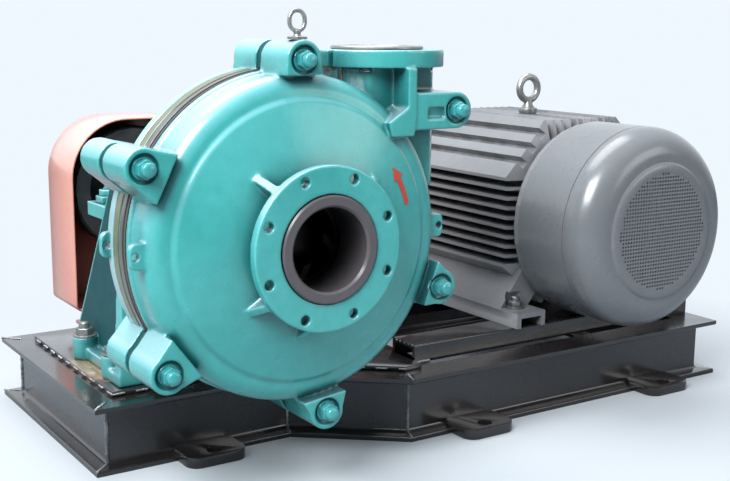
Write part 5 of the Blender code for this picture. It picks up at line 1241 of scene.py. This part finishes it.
def gland():
    bore = sleeve_radius + running_gap / 2
    nose = stuffing_bore_radius - touch_gap
    flange_end = gland_nose_end + gland_flange_thickness
    profile = [(bore, packing_back + touch_gap), (nose, packing_back + touch_gap), (nose, gland_nose_end),
               (gland_flange_radius, gland_nose_end), (gland_flange_radius, flange_end), (bore, flange_end)]
    parts = [bevelled(turned("gland_ring", profile, turn_steps), sheet_edge, 2)]
    for side in (-1, 1):
        x = side * (gland_flange_radius - gland_stud_inset)
        stud = threaded("stud", gland_stud_radius, stuffing_end + touch_gap, flange_end + gland_stud_reach)
        parts.append(shift_object(stud, (x, 0, 0)))
        parts.append(hex_nut("nut", (x, 0), "y", gland_nut_across, flange_end,
                             flange_end + gland_nut_thickness))
    return merged("gland_ring", parts)


def housing():
    rib_start, rib_end = housing_front + housing_rib_width, housing_back - housing_rib_width
    slope = housing_rib_radius - housing_radius
    profile = [(housing_bore_radius, housing_front), (housing_rib_radius, housing_front),
               (housing_rib_radius, rib_start), (housing_radius, rib_start + slope),
               (housing_radius, rib_end - slope), (housing_rib_radius, rib_end),
               (housing_rib_radius, housing_back), (housing_bore_radius, housing_back)]
    return bevelled(turned("housing", profile), cast_edge, 3, 25)


def end_cover(name, face, outward, bearing_side):
    bore = shaft_radius + running_gap
    spigot = housing_bore_radius - touch_gap
    near, far = face + outward * touch_gap, face + outward * cover_flange_thickness
    tip = bearing_side + outward * touch_gap
    nose = far + outward * cover_nose_depth
    profile = [(bore, tip), (spigot, tip), (spigot, near), (cover_flange_radius, near),
               (cover_flange_radius, far), (spigot, far), (spigot - cover_nose_wall, nose), (bore, nose)]
    parts = [bevelled(turned(name, profile, turn_steps), plate_edge, 2)]
    circle = (cover_flange_radius + spigot) / 2
    low, high = sorted((far, far + outward * cover_screw_height))
    for angle in even_angles(cover_screw_count, cover_screw_start):
        parts.append(hex_nut("head", polar(circle, angle), "y", cover_screw_across, low, high))
    return merged(name, parts)


def half_ring(radius, lift):
    return [polar(radius, lift + (math.pi - 2 * lift) * step / strap_steps)
            for step in range(strap_steps + 1)]


def strap(name, middle):
    inner, outer = housing_radius + touch_gap, housing_radius + touch_gap + strap_thickness
    ear = outer + strap_ear
    foot, height = touch_gap, strap_thickness + touch_gap
    outline = [(ear, foot), (ear, height)] + half_ring(outer, math.asin(height / outer))
    outline += [(-ear, height), (-ear, foot)] + half_ring(inner, math.asin(foot / inner))[::-1]
    body = extruded(name, outline, "y", middle - clamp_width / 2, middle + clamp_width / 2)
    parts = [bevelled(body, plate_edge, 2, 50)]
    stud_top = height + base_nut_thickness
    for side in (-1, 1):
        place = (side * (outer + strap_ear / 2), middle)
        parts.append(hex_nut("nut", place, "z", base_nut_across, height, stud_top - strap_nut_relief))
        parts.append(rod("stud", "z", place, base_bolt_radius * strap_stud_share, height, stud_top))
    return merged(name, parts)


def base_casting():
    floor = deck_top + touch_gap - pump_place.z
    plate_start = frame_back + touch_gap
    plate_end = plate_start + base_front_plate
    half, inner_half = base_half_width, base_half_width - base_wall
    plate_outline = [(-half + base_corner, base_plate_low), (half - base_corner, base_plate_low),
                     (half, base_plate_low + base_corner), (half, base_top), (-half, base_top),
                     (-half, base_plate_low + base_corner)]
    body = extruded("base_casting", plate_outline, "y", plate_start, plate_end)
    wall_outline = [(plate_start + overrun / 2, base_front_low), (base_wall_front, base_knee_height),
                    (base_wall_front, floor), (base_foot_back, floor), (base_top_back, base_top),
                    (plate_start + overrun / 2, base_top)]
    pieces = []
    for side in (-1, 1):
        pieces.append(extruded("wall", wall_outline, "x", side * inner_half, side * half))
        strip = [(base_strip_outer, base_foot_front), (base_strip_outer, base_bolt_ys[1]),
                 (half - overrun, base_bolt_ys[1]), (half - overrun, base_foot_back - overrun),
                 (base_strip_inner, base_foot_back - overrun), (base_strip_inner, base_foot_front)]
        pieces.append(extruded("strip", [(side * x, y) for x, y in strip], "z", floor,
                               floor + base_strip_height))
        for y in base_bolt_ys:
            pieces.append(rod("boss", "z", (side * base_bolt_x, y), base_boss_radius, floor,
                              floor + base_boss_height))
        web = [(front_web_reach, floor), (front_web_top_reach, front_web_top), (inner_half, front_web_top),
               (inner_half, floor)]
        pieces.append(extruded("front_web", [(side * x, z) for x, z in web], "y", front_web_start,
                               front_web_end))
        pieces.append(box("front_foot", sorted((side * front_foot_inner, side * front_web_reach)),
                          (front_web_start, front_foot_back), (floor, floor + base_strip_height)))
    reach = inner_half + overrun / 2
    saddle = [(-reach, 0), (-reach, -strap_thickness * 2)]
    saddle += arc_points((0, 0), saddle_radius, 180 + saddle_start_angle, 360 - saddle_start_angle,
                         arc_steps * 3)
    saddle += [(reach, -strap_thickness * 2), (reach, 0)]
    pieces.append(extruded("saddle", saddle, "y", saddle_front, saddle_back))
    rear_low = floor + base_strip_height / 2
    rear = [(-reach, rear_low), (reach, rear_low), (rear_wall_top_half, -saddle_radius / 2),
            (-rear_wall_top_half, -saddle_radius / 2)]
    pieces.append(extruded("rear_wall", rear, "y", saddle_back - base_wall * 2, saddle_back - base_wall))
    joined(body, pieces)
    cutters = [hole("y", (0, 0), base_hole_radius, plate_start, plate_end),
               rod("trough", "y", (0, 0), housing_radius + touch_gap, plate_end, saddle_back + overrun,
                   ring_steps)]
    for side in (-1, 1):
        for y in base_bolt_ys:
            cutters.append(hole("z", (side * base_bolt_x, y), base_bolt_radius + hole_clearance, floor,
                                floor + base_boss_height))
    cut(body, cutters)
    return cast(body, *base_skin)


def side_panels():
    """Thin dark teal sheets on the base's side walls, a little inside their edges, as painted shade."""
    floor = deck_top + touch_gap - pump_place.z
    low, high = floor + base_strip_height + side_panel_inset, base_top - side_panel_inset
    run = (base_foot_back - base_top_back) / (base_top - floor)
    rear = base_foot_back - side_panel_inset * 1.5
    front = frame_back + base_front_plate + side_panel_inset
    outline = [(front, base_front_low + side_panel_inset * 2),
               (base_wall_front + side_panel_inset, base_knee_height + side_panel_inset),
               (base_wall_front + side_panel_inset, low), (rear - run * (low - floor), low),
               (rear - run * (high - floor), high), (front, high)]
    near, far = base_half_width - side_panel_thickness, base_half_width + side_panel_thickness
    return merged("base_side_panels", [extruded("panel", outline, "x", side * near, side * far)
                                       for side in (-1, 1)])


seated(side_panels(), pump_place, teal_shade, static_body, slot="casing_paint")
seat_casting(stuffing(), "stuffing_box")
seated(gland(), pump_place, dark_iron, static_body, "gland_follower", slot="dark_iron")
seat_casting(housing(), "bearing_housing")
for end_name, face, outward in (("front", housing_front, -1), ("rear", housing_back, 1)):
    seat_casting(end_cover("end_cover_" + end_name, face, outward, face - outward * bearing_inset),
                 "bearing_cover_" + end_name)
for end_name, strap_y in zip(("front", "rear"), strap_ys):
    seat_casting(strap("strap_" + end_name, strap_y), "housing_strap_" + end_name)
seat_casting(base_casting(), "bearing_base")


def standing_bolt(name, place, seat, low, radius, across, nut, tail):
    """Washer, nut and rounded thread end above a foot, with the hexagon head under its carrier."""
    x, y = place
    washer_top = seat + washer_thickness
    washer = rod("washer", "z", place, across * washer_share, seat, washer_top, bolt_steps)
    bevelled(washer, rail_edge, 2)
    upper = hex_nut("nut", place, "z", across, washer_top, seat + nut)
    lower = hex_nut("head", place, "z", across, low - nut, low)
    shank = domed_rod("shank", radius, -(seat + nut + tail), -low, radius * foot_dome_share)
    shank.data.transform(Matrix.Rotation(-math.pi / 2, 4, 'X'))
    shift_object(shank, (x, y, 0))
    return merged(name, [washer, upper, lower, shank])


def seat_foot_bolts(name, node_name, places, *sizes):
    for index, place in enumerate(places):
        seated(standing_bolt("%s_%d" % (name, index + 1), place, *sizes), floor_place, zinc, static_body,
               "%s_%d" % (node_name, index + 1), slot="zinc_plate")


seat_foot_bolts("foot_bolt", "base_bolt", [(side * base_bolt_x, y) for side in (-1, 1) for y in base_bolt_ys],
                deck_top + base_boss_height + touch_gap * 2, rail_base - touch_gap, base_bolt_radius,
                base_nut_across, base_nut_thickness, base_bolt_tail)


# Motor

def comb(count, tip):
    """The outline of one side's fins, as (place along the side, distance from the axis) points."""
    points = []
    for index in range(count):
        middle = (index - (count - 1) / 2) * motor_fin_pitch
        left, right = middle - motor_fin_thickness / 2, middle + motor_fin_thickness / 2
        points += [(left, motor_body_radius), (left, tip), (right, tip), (right, motor_body_radius)]
    return points


def corner_grooves(start, end):
    start, end = Vector(start), Vector(end)
    along = end - start
    inward = Vector((-along.y, along.x)).normalized() * motor_groove_depth
    points = []
    for index in range(motor_corner_grooves):
        near = start + along * ((index + groove_land_share) / (motor_corner_grooves + 1))
        far = start + along * ((index + 1) / (motor_corner_grooves + 1))
        points += [tuple(near), tuple(near + inward), tuple(far + inward), tuple(far)]
    return points


def motor_section():
    side = comb(motor_fin_count, motor_side_reach)
    top = comb(motor_top_fin_count, motor_top_reach)
    low = comb(motor_top_fin_count, motor_bottom_reach)
    right = [(out, along) for along, out in side][1:-1]
    upper = [(-along, out) for along, out in top][1:-1]
    left = [(-out, -along) for along, out in side][1:-1]
    under = [(along, -out) for along, out in low][1:-1]
    return (right + corner_grooves(right[-1], upper[0]) + upper + corner_grooves(upper[-1], left[0]) + left
            + under)


def finned_body():
    body = extruded("motor_body", motor_section(), "y", motor_body_front, motor_body_back)
    root, reach = motor_body_radius + fin_end_step, motor_top_reach * barrel_reach_share
    front, back, lean = motor_body_front, motor_body_back, fin_end_slope * fin_end_lean
    barrel = turned("barrel", [(0, front), (root, front), (reach, front + lean), (reach, back - lean),
                               (root, back), (0, back)])
    combined(body, [barrel], 'INTERSECT')
    foot_low = -motor_rise + touch_gap
    foot_high = foot_low + motor_foot_height
    pieces, cutters = [], []
    for side in (-1, 1):
        web = [(side * motor_foot_inner, foot_high - overrun), (side * motor_foot_outer, foot_high - overrun),
               (side * (motor_foot_inner - overrun), -motor_foot_web_height),
               (side * (motor_body_radius * web_root_share), -motor_foot_web_height)]
        pieces.append(box("foot", sorted((side * motor_foot_inner, side * motor_foot_outer)),
                          (motor_foot_front, motor_foot_back), (foot_low, foot_high)))
        pieces.append(extruded("web", web, "y", motor_body_front + overrun, motor_foot_back - overrun))
        inner = side * (motor_foot_inner + motor_foot_wall)
        outer = side * (motor_foot_outer - motor_foot_wall)
        cutters.append(box("hollow", sorted((inner, outer)),
                           (motor_foot_front - overrun, motor_foot_back + overrun),
                           (foot_low - overrun, foot_high - motor_foot_wall)))
        for y in motor_bolt_ys:
            place = (side * motor_bolt_x, y)
            cutters.append(hole("z", place, motor_bolt_radius + hole_clearance, foot_low, foot_high))
            cutters.append(rod("spot", "z", place, motor_nut_across * spot_share, foot_high,
                               foot_high + motor_foot_height))
    pieces.append(rod("eye_boss", "z", (0, motor_eye_y), motor_eye_collar_radius + motor_fin_thickness, 0,
                      motor_top_reach))
    cutters.append(hole("y", (0, 0), motor_bore_radius, motor_body_front, motor_body_back, ring_steps))
    cutters.append(box("seat", (terminal_inner - touch_gap, motor_side_reach + overrun),
                       (terminal_front - touch_gap, terminal_back + touch_gap),
                       (terminal_low - touch_gap, terminal_high + touch_gap)))
    cut(joined(body, pieces), cutters)
    return bevelled(body, fin_edge, 2, 50)


seated(finned_body(), motor_place, motor_grey, static_body, "motor_frame", slot="motor_paint")


def cover_round(radius, front, corner):
    turns = [math.pi / 2 * step / curve_steps for step in range(curve_steps + 1)]
    return [(radius - corner + corner * math.sin(turn), front + corner - corner * math.cos(turn))
            for turn in turns]


def drum():
    """The pressed fan cover, open in the middle where the grille sits."""
    wall = fan_cover_wall
    radius, front, back, corner = fan_cover_radius, fan_cover_front, fan_cover_back, fan_cover_round
    step_radius = grille_radius + grille_pitch_cad / 2
    rim = grille_radius - rim_overlap
    outer = [(rim, front), (step_radius - rim_overlap, front),
             (step_radius + rim_roll, front + rim_roll_depth),
             (step_radius + fan_cover_step, front + fan_cover_step)]
    outer += cover_round(radius, front + fan_cover_step, corner)
    half, deep = cover_seam_width / 2, radius - cover_seam_depth
    outer += [(radius, cover_seam_y - half), (deep, cover_seam_y - half), (deep, cover_seam_y + half),
              (radius, cover_seam_y + half)]
    outer += [(radius, back), (radius - wall, back)]
    outer += [(r - wall, y + wall) for r, y in cover_round(radius, front + fan_cover_step, corner)[::-1]]
    outer += [(step_radius, front + fan_cover_step + wall), (step_radius - fan_cover_step, front + wall),
              (rim, front + wall)]
    return turned("fan_drum", outer, drum_steps)


def mesh_grille():
    """A square-holed sheet: every hole is a real opening with walls."""
    half = (grille_pitch - grille_bar) / 2
    near, far = fan_cover_front + grille_near, fan_cover_front + grille_far
    count = int(grille_radius // grille_pitch) + 1
    bm = bmesh.new()
    grid = {}

    def corner(x, y, z):
        key = (round(x, 6), round(y, 6), round(z, 6))
        if key not in grid:
            grid[key] = bm.verts.new((x, y, z))
        return grid[key]

    def strip(first, first_y, second, second_y):
        """The four faces between two squares."""
        for index in range(4):
            other = (index + 1) % 4
            (a, b), (c, d), (e, f), (g, h) = first[index], first[other], second[other], second[index]
            bm.faces.new((corner(a, first_y, b), corner(c, first_y, d), corner(e, second_y, f),
                          corner(g, second_y, h)))

    square = ((-1, -1), (1, -1), (1, 1), (-1, 1))
    for column in range(-count, count + 1):
        for row in range(-count, count + 1):
            x, z = column * grille_pitch, row * grille_pitch
            if math.hypot(x, z) > grille_radius + grille_pitch:
                continue
            open_cell = math.hypot(abs(x) + half, abs(z) + half) < grille_radius - grille_inset
            outside = [(x + a * grille_pitch / 2, z + b * grille_pitch / 2) for a, b in square]
            inside = [(x + a * half, z + b * half) for a, b in square]
            for y in (near, far):
                if open_cell:
                    strip(outside, y, inside, y)
                else:
                    bm.faces.new([corner(a, y, b) for a, b in outside])
            if open_cell:
                strip(inside, near, inside, far)
    return made("fan_grille", bm, smooth=False)


seated(drum(), motor_place, fan_cover_grey, static_body, "fan_cover", slot="motor_paint")
seated(mesh_grille(), motor_place, fan_cover_grey, static_body, slot="motor_paint")


def terminal():
    body = box("terminal_case", (terminal_inner, terminal_reach), (terminal_front, terminal_back),
               (terminal_low, terminal_high))
    lip = terminal_lid / 2
    lid = box("lid", (terminal_reach, terminal_reach + terminal_lid),
              (terminal_front - lip, terminal_back + lip), (terminal_low - lip, terminal_high + lip))
    gland_place = ((motor_side_reach + terminal_reach) / 2, (terminal_low + terminal_high) / 2)
    screws = []
    inset, face = terminal_screw_inset, terminal_reach + terminal_lid
    for y in (terminal_front + inset, terminal_back - inset):
        for z in (terminal_low + inset, terminal_high - inset):
            screw = rod("screw", "x", (y, z), terminal_screw_radius, face - terminal_screw_root,
                        face - terminal_screw_sink, bolt_steps)
            screws.append(bevelled(screw, screw_edge, 1))
    fitting = [rod("gland", "y", gland_place, terminal_gland_radius, terminal_front - terminal_gland_reach,
                   terminal_front + terminal_gland_root),
               hex_nut("gland_nut", gland_place, "y", terminal_nut_across,
                       terminal_front - terminal_nut_thickness, terminal_front)]
    return merged("terminal_case",
                  [bevelled(body, terminal_edge, 3), bevelled(lid, lid_edge, 3)] + screws + fitting)


seated(terminal(), motor_place, motor_grey, static_body, "terminal_box", slot="motor_paint")
seat_foot_bolts("motor_foot_bolt", "motor_bolt",
                [(motor_offset.x + side * motor_bolt_x, y) for side in (-1, 1) for y in motor_bolt_ys],
                rail_top + motor_foot_height + touch_gap * 2, rail_top - rail_wall - touch_gap,
                motor_bolt_radius, motor_nut_across, motor_nut_thickness, motor_bolt_tail)


# Belt guard

def rounded_outline(corners, steps=curve_steps):
    """A polygon of (x, z, radius) corners, each rounded with its radius."""
    points = []
    for index, (x, z, radius) in enumerate(corners):
        corner = Vector((x, z))
        before = Vector(corners[index - 1][:2])
        after = Vector(corners[(index + 1) % len(corners)][:2])
        to_before, to_after = (before - corner).normalized(), (after - corner).normalized()
        half_angle = to_before.angle(to_after) / 2
        reach = radius / math.tan(half_angle)
        centre = corner + (to_before + to_after).normalized() * (radius / math.sin(half_angle))
        start, end = corner + to_before * reach - centre, corner + to_after * reach - centre
        sweep = start.angle_signed(end)
        first = math.atan2(start.y, start.x)
        points += [tuple(centre + Vector((math.cos(first - sweep * step / steps),
                                          math.sin(first - sweep * step / steps))) * radius)
                   for step in range(steps + 1)]
    return points


def guard_outline(inset):
    motor_z = motor_offset.z
    left, right = -guard_left_radius + inset, motor_offset.x + guard_right_radius - inset
    low_right, high_right = motor_z - guard_right_radius + inset, motor_z + guard_right_radius - inset
    knee = guard_left_radius - inset
    corner = guard_corner - inset
    right_corner = guard_right_radius - inset * 2
    return rounded_outline([(left, guard_bottom + inset, guard_low_corner - inset),
                            (knee, guard_bottom + inset, corner),
                            (right, low_right, right_corner), (right, high_right, right_corner),
                            (knee * guard_knee_share, guard_top - inset, corner),
                            (left, guard_top - inset, corner)])


def guard():
    shell = extruded("guard_shell", guard_outline(0), "y", guard_front, guard_back)
    cut(shell, [extruded("hollow", guard_outline(guard_sheet), "y", guard_front - overrun,
                         guard_back - guard_sheet)])
    bevelled(shell, sheet_edge, 2, 60)
    floor = deck_top + touch_gap - pump_place.z
    toe, web_back = guard_leg_y + guard_leg_foot, guard_leg_y + guard_leg_thickness
    step, top = floor + guard_leg_thickness, guard_bottom + guard_sheet / 2
    outline = [(guard_leg_y, floor), (toe, floor), (toe, step), (web_back, step), (web_back, top),
               (guard_leg_y, top)]
    legs = []
    for x in guard_leg_xs:
        leg = extruded("leg", outline, "x", x - guard_leg_width / 2, x + guard_leg_width / 2)
        legs.append(bevelled(leg, leg_edge, 1))
    return merged("guard_shell", [shell] + legs)


seated(guard(), pump_place, guard_red, static_body, "belt_guard", slot="guard_paint")


# Rotation arrow on the cover, to the right of the suction flange

def arrow():
    """A flat arrow laid on the cone, pointing the way that the shaft turns."""
    bm = bmesh.new()
    steps, head_steps = arrow_steps, arrow_steps // 2
    strips = [(arrow_tail + (arrow_head - arrow_tail) * step / steps, arrow_half_shaft)
              for step in range(steps + 1)]
    for step in range(head_steps + 1):
        share = step / head_steps
        strips.append((arrow_head + (arrow_tip - arrow_head) * share,
                       arrow_half_head * (1 - share) + arrow_tip_width))
    rows = []
    for turn, half in strips:
        angle = math.radians(turn)
        row = []
        for radius in (arrow_radius - half, arrow_radius + half):
            x, z = polar(radius, angle)
            row.append(bm.verts.new((x, cone_front(radius) - arrow_proud, z)))
        rows.append(row)
    for first, second in zip(rows, rows[1:]):
        bm.faces.new((first[0], first[1], second[1], second[0]))
    result = bmesh.ops.extrude_face_region(bm, geom=bm.faces[:])
    moved = [item for item in result["geom"] if isinstance(item, bmesh.types.BMVert)]
    bmesh.ops.translate(bm, verts=moved, vec=(0, arrow_thickness, 0))
    return made("turn_arrow", bm)


seated(arrow(), pump_place, arrow_red, static_body)

# Nodes that keep their own shape, by look
carried = [(skid_black, ["skid_beam_cross"]), (packing, ["gland_packing"]), (liner, ["back_liner"]),
           (steel, ["shaft_sleeve", "bearing_front", "bearing_rear", "motor_rotor"]),
           (fan_black, ["motor_fan"]), (motor_grey, ["end_shield_fan", "end_shield_drive"]),
           (dark_iron, ["pump_pulley", "motor_pulley"]), (rubber, ["v_belt_1", "v_belt_2", "v_belt_3"])]
for node_look, node_names in carried:
    for node_name in node_names:
        nodes[node_name].data.materials.clear()
        nodes[node_name].data.materials.append(node_look)

# Floor, light and camera
backdrop_colour, floor_bounce_colour = (0.863, 0.930, 1.0, 1), (0.30, 0.33, 0.36, 1)
ambient_colour, ambient_low, ambient_high = (0.80, 0.90, 1.0, 1), 0.26, 0.54
bright_side, reflection_low, ambient_reach = (0.089, 0.741, 0.666), 0.12, 0.6
reflection_start, reflection_end = -0.25, 0.45
floor_size, fade_start, fade_end = 60, 0.50, 1.10
camera_place, camera_lens, camera_sensor = (-1.0965, -1.6070, 0.6349), 57.0, 36
yaw, pitch, roll = math.radians(33.37), math.radians(10.62), math.radians(0.47)


def floor_look():
    """A pale matt floor that fades into the backdrop, and gives less light back than it shows."""
    recipe = Recipe("studio_floor", 0.9)
    mottle = recipe.ramp(recipe.noise(1.5, 3.0), 0.3, 0.7)
    recipe.finish(recipe.mix(mottle, (0.545, 0.575, 0.610, 1), (0.565, 0.590, 0.620, 1)))
    tree, shader = recipe.tree, recipe.shader
    reach = recipe.add("ShaderNodeVectorMath", Vector=recipe.place)
    reach.operation = 'LENGTH'
    far = recipe.ramp(reach.outputs["Value"], fade_start, fade_end)
    glow = recipe.add("ShaderNodeEmission", Color=backdrop_colour, Strength=1.0)
    dull = recipe.add("ShaderNodeBsdfDiffuse", Color=floor_bounce_colour)
    seen, real = tree.nodes.new("ShaderNodeMixShader"), tree.nodes.new("ShaderNodeMixShader")
    by_camera = tree.nodes.new("ShaderNodeLightPath").outputs["Is Camera Ray"]
    for node, amount, first, second in ((seen, far, shader.outputs[0], glow.outputs[0]),
                                        (real, by_camera, dull.outputs[0], seen.outputs[0])):
        recipe.feed(node.inputs[0], amount)
        tree.links.new(first, node.inputs[1])
        tree.links.new(second, node.inputs[2])
    tree.links.new(real.outputs[0], tree.nodes["Material Output"].inputs["Surface"])
    return recipe.material


bpy.ops.mesh.primitive_plane_add(size=floor_size)
studio_floor = bpy.context.object
studio_floor.name = "studio_floor"
studio_floor.data.materials.append(floor_look())


def studio_world():
    """Even cool light that the camera sees as the backdrop.

    Reflections see it bright only behind and above.
    """
    world = bpy.data.worlds.new("studio")
    world.use_nodes = True
    tree = world.node_tree

    def linked(kind, operation, *sources):
        node = tree.nodes.new(kind)
        node.operation = operation
        for index, source in enumerate(sources):
            if isinstance(source, bpy.types.NodeSocket):
                tree.links.new(source, node.inputs[index])
            else:
                node.inputs[index].default_value = source
        return node

    def ramp(value, low, high, start, end):
        node = tree.nodes.new("ShaderNodeMapRange")
        tree.links.new(value, node.inputs["Value"])
        for name, amount in (("From Min", low), ("From Max", high), ("To Min", start), ("To Max", end)):
            node.inputs[name].default_value = amount
        return node.outputs["Result"]

    path = tree.nodes.new("ShaderNodeLightPath").outputs
    direction = tree.nodes.new("ShaderNodeTexCoord").outputs["Generated"]
    towards = linked("ShaderNodeVectorMath", 'DOT_PRODUCT', direction, bright_side).outputs["Value"]
    ambient = tree.nodes["Background"]
    ambient.inputs["Color"].default_value = ambient_colour
    strength = ramp(towards, -ambient_reach, ambient_reach, ambient_low, ambient_high)
    tree.links.new(strength, ambient.inputs["Strength"])
    backdrop = tree.nodes.new("ShaderNodeBackground")
    backdrop.inputs["Color"].default_value = backdrop_colour
    reflected = ramp(towards, reflection_start, reflection_end, reflection_low, 1.0)
    seen = linked("ShaderNodeMath", 'MAXIMUM', path["Is Camera Ray"], reflected).outputs[0]
    tree.links.new(seen, backdrop.inputs["Strength"])
    clear = linked("ShaderNodeMath", 'MAXIMUM', path["Is Camera Ray"], path["Is Glossy Ray"]).outputs[0]
    clear = linked("ShaderNodeMath", 'MAXIMUM', clear, path["Is Transmission Ray"]).outputs[0]
    mixer = tree.nodes.new("ShaderNodeMixShader")
    tree.links.new(clear, mixer.inputs[0])
    tree.links.new(ambient.outputs[0], mixer.inputs[1])
    tree.links.new(backdrop.outputs[0], mixer.inputs[2])
    tree.links.new(mixer.outputs[0], tree.nodes["World Output"].inputs["Surface"])
    return world


bpy.context.scene.world = studio_world()


def lamp(name, place, target, width, height, watts, colour):
    data = bpy.data.lights.new(name, 'AREA')
    data.shape = 'RECTANGLE'
    data.size = width
    data.size_y = height
    data.energy = watts
    data.color = colour
    obj = bpy.data.objects.new(name, data)
    obj.location = place
    obj.rotation_euler = (Vector(target) - Vector(place)).to_track_quat('-Z', 'Y').to_euler()
    collection.objects.link(obj)


# Lamps, as name, place, target, width, height, watts and colour
lamp("key", (-2.3, -1.3, 2.5), (-0.2, 0, 0.3), 1.6, 1.6, 150, (0.94, 0.98, 1.0))
lamp("fill", (2.0, -2.8, 1.4), (0.2, 0, 0.25), 1.8, 1.2, 16, (1, 1, 1))
lamp("top", (0.1, 0.7, 3.0), (0, 0, 0.2), 2.4, 1.6, 58, (0.95, 0.98, 1.0))

camera_data = bpy.data.cameras.new("camera")
camera_data.lens = camera_lens
camera_data.sensor_width = camera_sensor
camera = bpy.data.objects.new("camera", camera_data)
collection.objects.link(camera)
forward = Vector((math.sin(yaw) * math.cos(pitch), math.cos(yaw) * math.cos(pitch), -math.sin(pitch)))
level_right = Vector((math.cos(yaw), -math.sin(yaw), 0))
level_up = level_right.cross(forward)
right = level_right * math.cos(roll) + level_up * math.sin(roll)
up = -level_right * math.sin(roll) + level_up * math.cos(roll)
rotation = Matrix((right, up, -forward)).transposed()
camera.matrix_world = Matrix.Translation(camera_place) @ rotation.to_4x4()
bpy.context.scene.camera = camera
bpy.context.scene.view_settings.view_transform = 'Standard'

bpy.context.view_layer.update()
